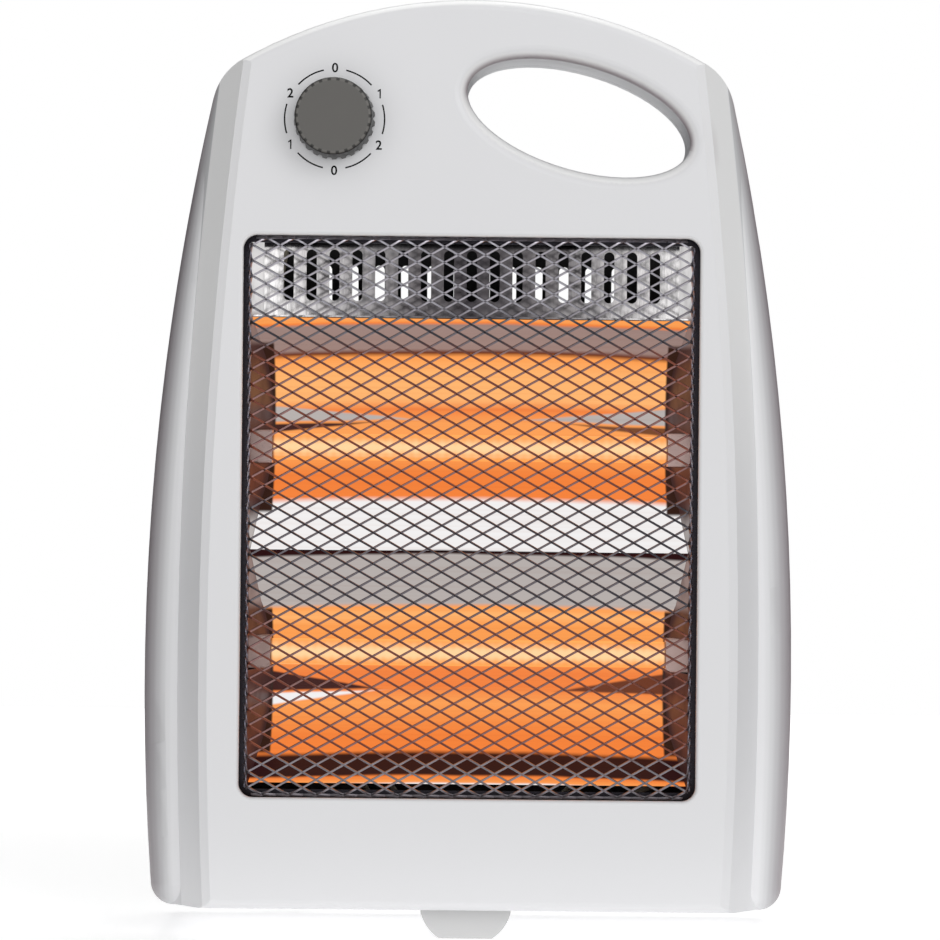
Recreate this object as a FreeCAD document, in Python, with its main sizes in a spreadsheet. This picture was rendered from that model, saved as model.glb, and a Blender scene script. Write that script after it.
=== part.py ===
import FreeCAD, Part
import math
import os

import Sketcher

Vector = FreeCAD.Vector
Rotation = FreeCAD.Rotation

# Driving dimensions in millimetres, degrees or plain counts.
# The heater faces -Y, x is to the right seen from the front, and z is up from the base.
SIZES = {
    # Outline of the case, seen from the front
    "case_width": 245.0,
    "case_height": 342.5,
    "waist_height": 87.0,
    "side_radius": 1012.0,
    "arch_radius": 175.6,
    "shoulder_round": 20.0,
    "corner_round": 9.0,
    "wall": 2.5,
    # Depth of the two shells, from the parting plane
    "front_depth": 28.0,
    "rear_depth": 68.0,
    "neck_depth": 13.0,
    "knee_drop": 67.5,
    "knee_span": 125.0,
    "knee_round": 60.0,
    "rear_edge_round": 8.0,
    # Raised front panel with a bowed, sloped step down to the rolled terrace on each side
    "terrace_width": 22.8,
    "panel_bow": 1750.0,
    "bow_level": 92.0,
    "step_depth": 12.0,
    "step_run": 9.8,
    "edge_bevel": 2.0,
    "panel_inset": 0.6,
    "panel_round": 4.0,
    "side_round": 8.5,
    # Window in the front shell
    "window_side_margin": 14.2,
    "window_top_drop": 89.5,
    "window_base": 42.5,
    "window_corner": 5.2,
    "window_round": 1.5,
    # Handle hole, a tilted ellipse through both shells
    "handle_start": 3.5,
    "handle_side_margin": 40.0,
    "handle_drop": 44.5,
    "handle_minor": 19.3,
    "handle_tilt": 15.9,
    "handle_round": 5.0,
    # Vents in the rear shell
    "vent_width": 3.9,
    "vent_pitch": 10.2,
    "outlet_drop": 30.5,
    "outlet_length": 46.5,
    "outlet_count": 14,
    "intake_low": 80.0,
    "intake_high": 128.0,
    "intake_count": 12,
    # Screws that hold the shells together, in wells open to the rear
    "case_screw_radius": 1.7,
    "case_screw_length": 16.0,
    "case_screw_seat": 6.0,
    "case_boss_radius": 4.2,
    "well_radius": 4.2,
    "well_wall": 1.8,
    "screw_low_margin": 14.5,
    "screw_low_height": 24.0,
    "screw_mid_margin": 12.5,
    "screw_mid_height": 135.0,
    "screw_top_margin": 30.5,
    "screw_top_drop": 78.5,
    "screw_head_radius": 3.3,
    "screw_head_height": 2.0,
    "screw_slot_width": 0.9,
    "screw_slot_depth": 1.0,
    "screw_tip_gap": 1.0,
    "screw_slack": 0.05,
    # Guard: a tray of expanded metal welded to a flat frame
    "guard_gap": 1.2,
    "guard_recess": 2.0,
    "guard_sheet": 0.8,
    "guard_cell_width": 20.2,
    "guard_cell_height": 11.4,
    "guard_strand": 1.2,
    "guard_margin": 3.0,
    "frame_side_rim": 12.7,
    "frame_end_rim": 5.0,
    # Seat of the guard frame and the reflector box, ahead of the parting plane
    "seat_depth": 12.8,
    "box_screw_radius": 1.5,
    "box_screw_length": 8.0,
    "box_boss_radius": 3.2,
    "box_screw_margin": 6.2,
    "box_screw_low_inset": 15.0,
    "box_screw_high_inset": 19.0,
    "box_screw_rows": 3,
    # Reflector box: two slanted side plates, two troughs and a slotted plate
    "box_sheet": 0.8,
    "box_base_rise": 2.5,
    "box_top_rise": 2.0,
    "box_side_gap": 1.0,
    "box_taper": 7.8,
    "box_depth": 36.0,
    "plate_top_setback": 10.0,
    "fit_gap": 0.15,
    "lip_gap": 1.8,
    "slot_zone": 32.2,
    "ridge_gap": 0.3,
    "trough_front": 10.4,
    "outer_wing": 12.5,
    "inner_wing": 20.0,
    "wing_setback": 6.0,
    "trough_sag_share": 0.28184,
    "reflector_gauge": 0.9,
    "slot_plate_setback": 5.0,
    "slot_plate_gauge": 0.6,
    "slot_plate_drop": 1.0,
    "slot_width": 3.9,
    "slot_length": 19.5,
    "slot_top_margin": 4.6,
    "slot_end_margin": 5.5,
    "slot_count": 17,
    # Quartz tubes with their coils, ceramic caps and end terminals
    "tube_setback": 7.0,
    "tube_drop": 8.625,
    "tube_radius": 5.0,
    "tube_wall": 1.0,
    "tube_seat": 7.0,
    "cap_length": 13.5,
    "cap_size": 12.6,
    "cap_bore_slack": 0.2,
    "cap_edge": 1.0,
    "coil_radius": 2.75,
    "coil_wire": 0.35,
    "coil_turns": 44,
    "coil_overlap": 2.5,
    "stud_radius": 2.2,
    "stud_reach": 5.5,
    "blade_width": 6.3,
    "blade_gauge": 0.8,
    "blade_length": 8.0,
    # Rotary switch behind the dial
    "dial_side_margin": 70.6,
    "dial_drop": 46.0,
    "switch_width": 28.0,
    "switch_depth": 16.0,
    "shaft_radius": 3.0,
    "shaft_slack": 0.05,
    "shaft_hole_radius": 4.0,
    "shaft_end_gap": 1.5,
    "switch_screw_radius": 1.3,
    "switch_screw_spread": 9.0,
    "switch_screw_length": 9.0,
    "switch_screw_head": 2.6,
    "switch_blade_spread": 8.0,
    # Knob
    "knob_radius": 15.2,
    "knob_face_radius": 14.4,
    "knob_height": 14.0,
    "knob_gap": 0.6,
    "knob_edge": 1.2,
    "knob_hollow": 9.0,
    "knob_skirt": 2.8,
    "hub_radius": 5.5,
    "hub_bore_depth": 9.4,
    "flute_count": 26,
    "flute_radius": 1.1,
    "flute_offset": 0.3,
    # Tip-over foot, its spring and the switch that it works
    "foot_forward": 14.0,
    "foot_width": 34.0,
    "foot_tip_width": 20.0,
    "foot_reach": 10.8,
    "foot_shoulder": 1.0,
    "foot_side_radius": 16.0,
    "foot_gauge": 5.0,
    "foot_slot_gap": 0.5,
    "foot_stop_width": 42.0,
    "foot_stop_depth": 10.0,
    "foot_stop_gauge": 2.0,
    "foot_stop_gap": 0.3,
    "stem_radius": 3.0,
    "stem_slack": 0.1,
    "stem_top": 24.5,
    "tip_switch_base": 21.0,
    "tip_switch_height": 15.5,
    "tip_switch_width": 30.0,
    "tip_switch_depth": 14.0,
    "tip_switch_roof": 1.0,
    "tip_ear_reach": 30.0,
    "tip_ear_gauge": 2.0,
    "tip_screw_spread": 26.0,
    "tip_screw_radius": 1.3,
    "tip_screw_length": 8.0,
    "tip_screw_head": 2.6,
    "tip_pillar_radius": 3.5,
    "tip_blade_spread": 8.0,
    "tip_blade_level": 29.0,
    "spring_radius": 4.2,
    "spring_wire": 0.4,
    "spring_turns": 5,
    "spring_gap": 0.3,
    # Thermal cut-out on the back of the upper trough
    "cutout_radius": 8.0,
    "cutout_depth": 8.0,
    "cutout_flange_width": 26.0,
    "cutout_flange_height": 12.0,
    "cutout_flange_gauge": 0.8,
    "cutout_blade_spread": 5.0,
    # Terminal block and cable gland in the rear shell
    "block_offset": 40.0,
    "block_level": 51.0,
    "block_width": 24.0,
    "block_height": 14.0,
    "block_depth": 14.0,
    "block_pole_spread": 6.0,
    "block_bore_radius": 2.2,
    "block_bore_depth": 8.0,
    "gland_offset": 70.0,
    "gland_level": 28.0,
    "gland_bore_radius": 3.6,
    "gland_neck_radius": 6.5,
    "gland_flange_radius": 9.0,
    "gland_flange_gauge": 2.2,
    "gland_nose_length": 6.0,
    # Internal leads
    "lead_radius": 1.1,
    "lead_stub": 7.0,
    # How far a cutter runs past the faces that it opens
    "overrun": 4.0,
}

# Tangent length of a lead's bend, as a share of the shorter of its two runs
BEND_SHARE = 0.45
# Two faces that turn by less than this cosine at an edge meet in a crease
SMOOTH_COSINE_SHARE = 0.996
TOUCH_SHARE = 1e-6

SIDES = (("left", -1), ("right", 1))


class Size:
    """A number with its value now and the sheet expression that gives it."""

    def __init__(self, value, text):
        self.value = value
        self.text = text

    def __neg__(self):
        return Size(-self.value, f"(-{self.text})")

    def __add__(self, other):
        other = as_size(other)
        return Size(self.value + other.value, f"({self.text} + {other.text})")

    def __radd__(self, other):
        return as_size(other) + self

    def __sub__(self, other):
        other = as_size(other)
        return Size(self.value - other.value, f"({self.text} - {other.text})")

    def __rsub__(self, other):
        return as_size(other) - self

    def __mul__(self, other):
        other = as_size(other)
        return Size(self.value * other.value, f"({self.text} * {other.text})")

    def __rmul__(self, other):
        return as_size(other) * self

    def __truediv__(self, other):
        other = as_size(other)
        return Size(self.value / other.value, f"({self.text} / {other.text})")


def as_size(number):
    """A plain number as a Size, or the Size itself."""
    if isinstance(number, Size):
        return number
    return Size(float(number), repr(float(number)))


def root(size):
    """The square root of a Size."""
    return Size(math.sqrt(size.value), f"sqrt({size.text})")


class SizeSheet:
    """The sheet of driving dimensions, with each alias as an attribute that gives a Size."""

    def __init__(self, table):
        sheet = doc.addObject("Spreadsheet::Sheet", "Sizes")
        for row, (alias, value) in enumerate(table.items(), start=1):
            sheet.set(f"A{row}", alias)
            sheet.set(f"B{row}", str(value))
            sheet.setAlias(f"B{row}", alias)
        doc.recompute()
        for alias in table:
            setattr(self, alias, Size(float(sheet.get(alias)), f"Sizes.{alias}"))


doc = FreeCAD.newDocument("quartz_heater")
S = SizeSheet(SIZES)
NODES = {}

# Sizes and places of pieces that fit the case, the window or the box, from their clearances
S.panel_width = S.case_width - 2 * S.terrace_width
S.knee_high = S.case_height - S.knee_drop
S.knee_low = S.knee_high - S.knee_span
S.outlet_high = S.knee_high - S.outlet_drop
S.outlet_low = S.outlet_high - S.outlet_length
S.window_width = S.panel_width - 2 * S.window_side_margin
S.window_height = S.case_height - S.window_top_drop - S.window_base
S.handle_major = (S.case_width / 2 - S.handle_side_margin + S.handle_start) / 2
S.handle_offset = S.handle_major - S.handle_start
S.handle_level = S.case_height - S.handle_drop
S.dial_offset = S.case_width / 2 - S.dial_side_margin
S.dial_level = S.case_height - S.dial_drop
S.screw_low_spread = S.case_width / 2 - S.screw_low_margin
S.screw_mid_spread = S.case_width / 2 - S.screw_mid_margin
S.screw_top_spread = S.case_width / 2 - S.screw_top_margin
S.screw_top_height = S.case_height - S.screw_top_drop
S.box_base = S.window_base + S.box_base_rise
S.box_height = S.window_height + S.box_top_rise - S.box_base_rise
S.box_front_width = S.window_width - 2 * S.guard_gap - 2 * S.box_side_gap
S.box_back_width = S.box_front_width - 2 * S.box_taper
S.box_screw_spread = S.box_front_width / 2 + S.box_screw_margin
S.box_screw_low = S.box_base + S.box_screw_low_inset
S.box_screw_pitch = (S.box_height - S.box_screw_low_inset - S.box_screw_high_inset) / (S.box_screw_rows - 1)
S.trough_height = (S.box_height - S.slot_zone - S.lip_gap) / 2
S.ridge_height = S.box_base + S.lip_gap + S.trough_height
S.trough_chord = S.trough_height - S.outer_wing - S.inner_wing - S.ridge_gap / 2
S.trough_sag = S.trough_chord * S.trough_sag_share
S.tube_offset = S.ridge_gap / 2 + S.inner_wing + S.trough_chord / 2 - S.tube_drop
S.tube_span = S.box_back_width
S.slot_plate_top = S.box_base + S.box_height - S.slot_plate_drop
S.slot_high = S.slot_plate_top - S.slot_top_margin
S.slot_low = S.slot_high - S.slot_length
S.slot_pitch = (S.box_back_width - 2 * S.slot_end_margin) / (S.slot_count - 1)

# The parting plane lies so that the origin is at the middle of the base.
PARTING = (S.front_depth - S.rear_depth) / 2


def ahead(depth):
    """The y place this far in front of the parting plane."""
    return PARTING - depth


def behind(depth):
    """The y place this far behind the parting plane."""
    return PARTING + depth


def node(name, obj):
    """Keep an object as a finished piece under its own label."""
    obj.Label = name
    NODES[name] = obj
    return obj


# Bindings and primitives


def bind(obj, prop, size):
    """Tie a property to the sheet."""
    obj.setExpression(prop, as_size(size).text)


def place(obj, x, y, z):
    """Tie an object's place to the sheet."""
    for axis, size in zip("xyz", (x, y, z)):
        bind(obj, f"Placement.Base.{axis}", size)
    return obj


def box(name, x, y, z):
    """A box, with the low and high place of each axis as a pair."""
    obj = doc.addObject("Part::Box", name)
    for prop, (low, high) in zip(("Length", "Width", "Height"), (x, y, z)):
        bind(obj, prop, as_size(high) - low)
    return place(obj, x[0], y[0], z[0])


AXIS_TURNS = {
    "x": Rotation(Vector(0, 1, 0), 90),
    "y": Rotation(Vector(1, 0, 0), -90),
    "z": Rotation(),
}


def cylinder(name, axis, radius, low, high, centre):
    """A cylinder along an axis from low to high, round the centre on the other two axes."""
    obj = doc.addObject("Part::Cylinder", name)
    obj.Placement = FreeCAD.Placement(Vector(), AXIS_TURNS[axis])
    bind(obj, "Radius", radius)
    bind(obj, "Height", as_size(high) - low)
    spots = list(centre)
    spots.insert("xyz".index(axis), low)
    return place(obj, *spots)


def wedge(name, y, z, front_x, back_x):
    """A prism whose x pair changes straight from the low to the high y place."""
    obj = doc.addObject("Part::Wedge", name)
    pairs = {"Y": y, "Z": z, "Z2": z, "X": front_x, "X2": back_x}
    for prop, (low, high) in pairs.items():
        bind(obj, prop + "min", low)
        bind(obj, prop + "max", high)
    return obj


def fuse(name, *shapes):
    """The shapes as one, or as a group where they don't meet."""
    obj = doc.addObject("Part::MultiFuse", name)
    obj.Shapes = list(shapes)
    obj.Refine = True
    return obj


def common(name, *shapes):
    """What all the shapes share."""
    obj = doc.addObject("Part::MultiCommon", name)
    obj.Shapes = list(shapes)
    obj.Refine = True
    return obj


def cut(name, base, *tools):
    """The base with the tools taken away."""
    obj = doc.addObject("Part::Cut", name)
    obj.Base = base
    obj.Tool = tools[0] if len(tools) == 1 else fuse(f"{name}_tools", *tools)
    obj.Refine = True
    return obj


# Rounded edges


def is_crease(edge, faces):
    """Whether two faces meet in a visible crease along an edge."""
    if len(faces) != 2:
        return False
    point = edge.valueAt((edge.FirstParameter + edge.LastParameter) / 2)
    normals = [face.normalAt(*face.Surface.parameter(point)) for face in faces]
    return normals[0].dot(normals[1]) < SMOOTH_COSINE_SHARE


def rounded(name, base, radius, pick):
    """Round the creases of a base that pick(edge, faces) chooses."""
    doc.recompute()
    shape = base.Shape
    edges = []
    for index, edge in enumerate(shape.Edges, start=1):
        faces = shape.ancestorsOfType(edge, Part.Face)
        if is_crease(edge, faces) and pick(edge, faces):
            edges.append((index, radius.value, radius.value))
    obj = doc.addObject("Part::Fillet", name)
    obj.Base = base
    obj.Edges = edges
    return obj


def near(value, size):
    """Whether a coordinate lies on a named place."""
    return abs(value - size.value) < S.wall.value * TOUCH_SHARE


def runs_along_y(edge, faces):
    """Whether an edge runs straight back."""
    ends = [vertex.Point for vertex in edge.Vertexes]
    span = ends[-1] - ends[0]
    return abs(span.y) > span.Length * (1 - TOUCH_SHARE)


def faces_reaching(faces, level):
    """How many of the faces reach the plane at this y place."""
    return sum(any(near(vertex.Y, level) for vertex in face.Vertexes) for face in faces)


def rim_of(level):
    """Pick the edges between a side wall, which reaches this y place, and the closed end."""
    return lambda edge, faces: faces_reaching(faces, level) == 1


def creases_of(level):
    """Pick the edges within the closed end, where no face reaches this y place."""
    return lambda edge, faces: faces_reaching(faces, level) == 0


# Sketches


def sketch_on(body, name, role):
    """A sketch on one of a body's own origin planes."""
    planes = [plane for plane in body.Origin.OriginFeatures if plane.Role == role]
    sketch = body.newObject("Sketcher::SketchObject", name)
    sketch.AttachmentSupport = (planes[0], [""])
    sketch.MapMode = "FlatFace"
    return sketch


def constrain(sketch, kind, geometry, size):
    """Add a constraint whose value is tied to the sheet."""
    size = as_size(size)
    index = sketch.addConstraint(Sketcher.Constraint(kind, *geometry, size.value))
    sketch.setExpression(f"Constraints[{index}]", size.text)


def pin(sketch, geometry, spot):
    """Tie a point of a sketch to its place from the sketch's origin."""
    constrain(sketch, "DistanceX", (-1, 1, *geometry), spot[0])
    constrain(sketch, "DistanceY", (-1, 1, *geometry), spot[1])


def sketch_arc(start, end, radius, side):
    """An arc of under a half turn from start to end, its centre left (1) or right (-1) of them."""
    chord = end - start
    normal = Vector(-chord.y, chord.x, 0).normalize()
    height = math.sqrt(radius ** 2 - (chord.Length / 2) ** 2)
    centre = (start + end) / 2 + normal * (side * height)
    middle = centre - normal * (side * radius)
    return Part.Arc(start, middle, end)


def draw(sketch, corners, arcs=None):
    """A closed outline through the corners, with {corner index: (radius, side)} as arcs."""
    arcs = arcs or {}
    spots = [tuple(as_size(number) for number in corner) for corner in corners]
    points = [Vector(u.value, v.value, 0) for u, v in spots]
    ends = []
    for index, start in enumerate(points):
        end = points[(index + 1) % len(points)]
        if index in arcs:
            radius, side = arcs[index]
            line = sketch.addGeometry(sketch_arc(start, end, radius.value, side))
            constrain(sketch, "Radius", (line,), radius)
            ends.append((line, 1, 2) if side > 0 else (line, 2, 1))
        else:
            line = sketch.addGeometry(Part.LineSegment(start, end))
            ends.append((line, 1, 2))
    for index, (line, first, last) in enumerate(ends):
        following, start, finish = ends[(index + 1) % len(ends)]
        sketch.addConstraint(Sketcher.Constraint("Coincident", line, last, following, start))
        pin(sketch, (line, first), spots[index])


def draw_slot(sketch, x, low, high, width):
    """An upright slot with round ends."""
    radius = width / 2
    foot, head = low + radius, high - radius
    left, right = x - radius, x + radius
    ends = []
    for level, start in ((foot, math.pi), (head, 0)):
        circle = Part.Circle(Vector(x.value, level.value, 0), Vector(0, 0, 1), radius.value)
        arc = sketch.addGeometry(Part.ArcOfCircle(circle, start, start + math.pi))
        pin(sketch, (arc, 3), (x, level))
        constrain(sketch, "Radius", (arc,), radius)
        ends.append(arc)
    rise = Part.LineSegment(Vector(right.value, foot.value, 0), Vector(right.value, head.value, 0))
    fall = Part.LineSegment(Vector(left.value, head.value, 0), Vector(left.value, foot.value, 0))
    lines = [sketch.addGeometry(rise), sketch.addGeometry(fall)]
    joints = ((ends[0], 2, lines[0], 1), (lines[0], 2, ends[1], 1))
    joints += ((ends[1], 2, lines[1], 1), (lines[1], 2, ends[0], 1))
    for joint in joints:
        sketch.addConstraint(Sketcher.Constraint("Tangent", *joint))


def pad(body, sketch, length, midplane=False, reverse=False):
    """Pad a sketch of a body."""
    feature = body.newObject("PartDesign::Pad", f"{sketch.Name}_pad")
    feature.Profile = sketch
    feature.Midplane = midplane
    feature.Reversed = reverse
    bind(feature, "Length", length)
    return feature


def slot_row(body, name, low, high, width, pitch, count, forward=False):
    """A row of upright slots, centred on x, cut from the origin plane backwards or forward."""
    sketch = sketch_on(body, name, "XZ_Plane")
    first = -(pitch * (count - 1)) / 2
    draw_slot(sketch, first, low, high, width)
    pocket = body.newObject("PartDesign::Pocket", f"{name}_pocket")
    pocket.Profile = sketch
    pocket.Type = "ThroughAll"
    pocket.Reversed = forward
    row = body.newObject("PartDesign::LinearPattern", f"{name}_row")
    axis = [line for line in body.Origin.OriginFeatures if line.Role == "X_Axis"]
    row.Originals = [pocket]
    row.Direction = (axis[0], [""])
    bind(row, "Length", pitch * (count - 1))
    bind(row, "Occurrences", count)
    body.Tip = row


# Fasteners and terminals


def screw(name, axis, seat, sense, centre, radius, length, head_radius):
    """A slotted pan head screw: its head stands against sense, its shank runs along it."""
    tip = seat + length * sense
    top = seat - S.screw_head_height * sense
    floor = top + S.screw_slot_depth * sense
    shank = cylinder(f"{name}_shank", axis, radius, *ordered(seat, tip), centre)
    head = cylinder(f"{name}_head", axis, head_radius, *ordered(seat, top), centre)
    across = [(centre[0] - head_radius, centre[0] + head_radius)]
    across.append((centre[1] - S.screw_slot_width / 2, centre[1] + S.screw_slot_width / 2))
    across.insert("xyz".index(axis), ordered(floor, top - S.overrun * sense))
    return cut(name, fuse(f"{name}_blank", shank, head), box(f"{name}_slot", *across))


def ordered(first, second):
    """Two places, the lower one first."""
    return (first, second) if first.value < second.value else (second, first)


def blade(name, x, y, z):
    """A flat tab terminal between the low and high place of each axis."""
    return box(name, x, y, z)


# Case


def outline_blank(name, inset, low, high, base=None):
    """The case's outline, drawn in by inset and run from low to high along y, its base as far in or at its own level."""
    base = inset if base is None else base
    sway = S.side_radius - S.case_width / 2
    spring_line = S.case_height - S.arch_radius
    wide = (-S.arch_radius, S.arch_radius)
    right = cylinder(f"{name}_right", "y", S.side_radius - inset, low, high, (-sway, S.waist_height))
    left = cylinder(f"{name}_left", "y", S.side_radius - inset, low, high, (sway, S.waist_height))
    arch = cylinder(f"{name}_arch", "y", S.arch_radius - inset, low, high, (0, spring_line))
    below = box(f"{name}_below", wide, (low, high), (base, spring_line))
    floor = box(f"{name}_floor", wide, (low, high), (base, S.case_height))
    dome = fuse(f"{name}_dome", arch, below)
    form = common(f"{name}_sharp", right, left, dome, floor)
    waist = S.waist_height.value
    low_corner = lambda edge, faces: runs_along_y(edge, faces) and edge.CenterOfMass.z < waist
    shoulder = lambda edge, faces: runs_along_y(edge, faces) and edge.CenterOfMass.z > waist
    form = rounded(f"{name}_corners", form, S.corner_round - inset, low_corner)
    return rounded(name, form, S.shoulder_round - inset, shoulder)


def side_cone(name, sign, reach, slope):
    """The room inside a bowed slope that lies this far from the middle at the panel's face."""
    front, back = ahead(S.front_depth + S.overrun), behind(S.overrun)
    radius = S.panel_bow - S.overrun * slope
    away = Rotation(Vector(0, 1, 0), 90 + 90 * sign)
    obj = doc.addObject("Part::Cone", name)
    obj.Placement = FreeCAD.Placement(Vector(), away.multiply(AXIS_TURNS["y"]))
    bind(obj, "Radius1", radius)
    bind(obj, "Radius2", radius + (back - front) * slope)
    bind(obj, "Height", back - front)
    return place(obj, (reach - S.panel_bow) * sign, front, S.bow_level)


def panel_sides(name, inset, bevelled):
    """The rooms inside the panel's two bowed steps, and inside the bevels of their edges."""
    slant = root(S.step_run * S.step_run + S.step_depth * S.step_depth)
    reach = S.panel_width / 2 - inset * slant / S.step_depth
    cones = []
    for side, sign in SIDES:
        cones.append(side_cone(f"{name}_{side}_step", sign, reach, S.step_run / S.step_depth))
        if bevelled:
            slope = (slant + S.step_run) / S.step_depth
            cones.append(side_cone(f"{name}_{side}_bevel", sign, reach - S.edge_bevel, slope))
    return cones


def at_level(level):
    """Pick the edges that lie at this y place."""
    return lambda edge, faces: near(edge.CenterOfMass.y, level)


def front_outside():
    """The front shell's outer form: the raised panel between two rolled terraces."""
    face, level = ahead(S.front_depth), ahead(S.front_depth - S.step_depth)
    blank = outline_blank("panel_blank", S.panel_inset, face, PARTING)
    blank = rounded("panel_rounded", blank, S.panel_round, at_level(face))
    panel = common("panel_form", blank, *panel_sides("panel", as_size(0), True))
    low = outline_blank("terrace_blank", as_size(0), level, PARTING)
    return fuse("front_outer", panel, rounded("terrace_form", low, S.side_round, at_level(level)))


def front_inside():
    """The room inside the front shell, a wall away from its outer form."""
    face, level = ahead(S.front_depth - S.wall), ahead(S.front_depth - S.step_depth - S.wall)
    back = behind(S.overrun)
    blank = outline_blank("inside_blank", S.wall + S.panel_inset, face, back, S.wall)
    panel = common("inside_panel", blank, *panel_sides("inside", S.wall, False))
    base = S.corner_round + S.wall
    above = box("inside_above", (-S.case_width, S.case_width), (level, back), (base, S.case_height))
    low = common("inside_terrace", outline_blank("inside_low", S.wall, level, back), above)
    rim = lambda edge, faces: near(edge.CenterOfMass.y, level) and edge.CenterOfMass.z > base.value
    return fuse("front_inner", panel, rounded("inside_rolled", low, S.side_round - S.wall, rim))


def rear_form(name, inset, front):
    """The rear shell's outer form: deep below, sloped above, thin at the handle."""
    depth = S.rear_depth - inset
    neck = S.neck_depth - inset
    run = S.rear_depth - S.neck_depth
    rise = S.knee_high - S.knee_low
    drop = inset * (root(run * run + rise * rise) - rise) / run
    blank = outline_blank(f"{name}_blank", inset, front, behind(depth))
    profile = doc.addObject("PartDesign::Body", f"{name}_profile")
    sketch = sketch_on(profile, f"{name}_side", "YZ_Plane")
    base, top = -S.overrun, S.case_height + S.overrun
    corners = [(front - S.overrun, base), (behind(depth), base), (behind(depth), S.knee_low - drop)]
    corners += [(behind(neck), S.knee_high - drop), (behind(neck), top), (front - S.overrun, top)]
    draw(sketch, corners)
    pad(profile, sketch, S.case_width + S.overrun, midplane=True)
    form = common(f"{name}_sharp", blank, profile)
    form = rounded(f"{name}_knees", form, S.knee_round, creases_of(front))
    return rounded(name, form, S.rear_edge_round - inset, rim_of(front))


def handle_form(name, grow, low, high):
    """The handle hole's tilted ellipse, grown all round, as a solid along y."""
    ellipse = doc.addObject("Part::Ellipse", f"{name}_ellipse")
    tilt = Rotation(Vector(0, 0, 1), -S.handle_tilt.value)
    upright = Rotation(Vector(1, 0, 0), 90)
    ellipse.Placement = FreeCAD.Placement(Vector(), upright.multiply(tilt))
    bind(ellipse, "MajorRadius", S.handle_major + grow)
    bind(ellipse, "MinorRadius", S.handle_minor + grow)
    place(ellipse, S.handle_offset, low, S.handle_level)
    solid = doc.addObject("Part::Extrusion", name)
    solid.Base = ellipse
    solid.DirMode = "Custom"
    solid.Dir = Vector(0, 1, 0)
    solid.Solid = True
    bind(solid, "LengthFwd", high - low)
    return solid


def round_handle_edge(name, base, level):
    """Round the handle hole's edge at one face of the case."""
    reach = S.handle_major.value
    centre = Vector(S.handle_offset.value, level.value, S.handle_level.value)

    def on_hole(edge, faces):
        middle = edge.CenterOfMass
        return near(middle.y, level) and (middle - centre).Length < reach

    return rounded(name, base, S.handle_round, on_hole)


def case_screw_places():
    """The x and z places of the screws that join the shells."""
    spreads = (S.screw_low_spread, S.screw_mid_spread, S.screw_top_spread)
    levels = (S.screw_low_height, S.screw_mid_height, S.screw_top_height)
    return [(x * sign, z) for x, z in zip(spreads, levels) for _, sign in SIDES]


def box_screw_places():
    """The x and z places of the screws that hold the guard frame and the reflector box."""
    levels = [S.box_screw_low + S.box_screw_pitch * row for row in range(int(S.box_screw_rows.value))]
    return [(S.box_screw_spread * sign, z) for z in levels for _, sign in SIDES]


def switch_screw_places():
    """The x and z places of the rotary switch's screws, beside its shaft."""
    return [(S.switch_screw_spread * sign - S.dial_offset, S.dial_level) for _, sign in SIDES]


def tip_screw_places():
    """The x and y places of the tip-over switch's screws."""
    return [(S.tip_screw_spread * sign, ahead(S.foot_forward)) for _, sign in SIDES]


def front_bosses():
    """Everything that stands inside the front shell."""
    solids = [handle_form("front_handle_wall", S.wall, ahead(S.front_depth), PARTING)]
    for index, spot in enumerate(case_screw_places()):
        span = (ahead(S.front_depth), PARTING)
        solids.append(cylinder(f"front_boss_{index}", "y", S.case_boss_radius, *span, spot))
    for index, spot in enumerate(box_screw_places()):
        span = (ahead(S.front_depth), ahead(S.seat_depth))
        solids.append(cylinder(f"box_boss_{index}", "y", S.box_boss_radius, *span, spot))
    for index, spot in enumerate(tip_screw_places()):
        span = (as_size(0), S.tip_switch_base)
        solids.append(cylinder(f"tip_pillar_{index}", "z", S.tip_pillar_radius, *span, spot))
    return fuse("front_bosses", *solids)


def window_cutter():
    """The window's opening with its round corners."""
    half = S.window_width / 2
    y = (ahead(S.front_depth + S.overrun), ahead(S.front_depth - S.wall - S.wall))
    block = box("window_block", (-half, half), y, (S.window_base, S.window_base + S.window_height))
    return rounded("window_opening", block, S.window_corner, runs_along_y)


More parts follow.
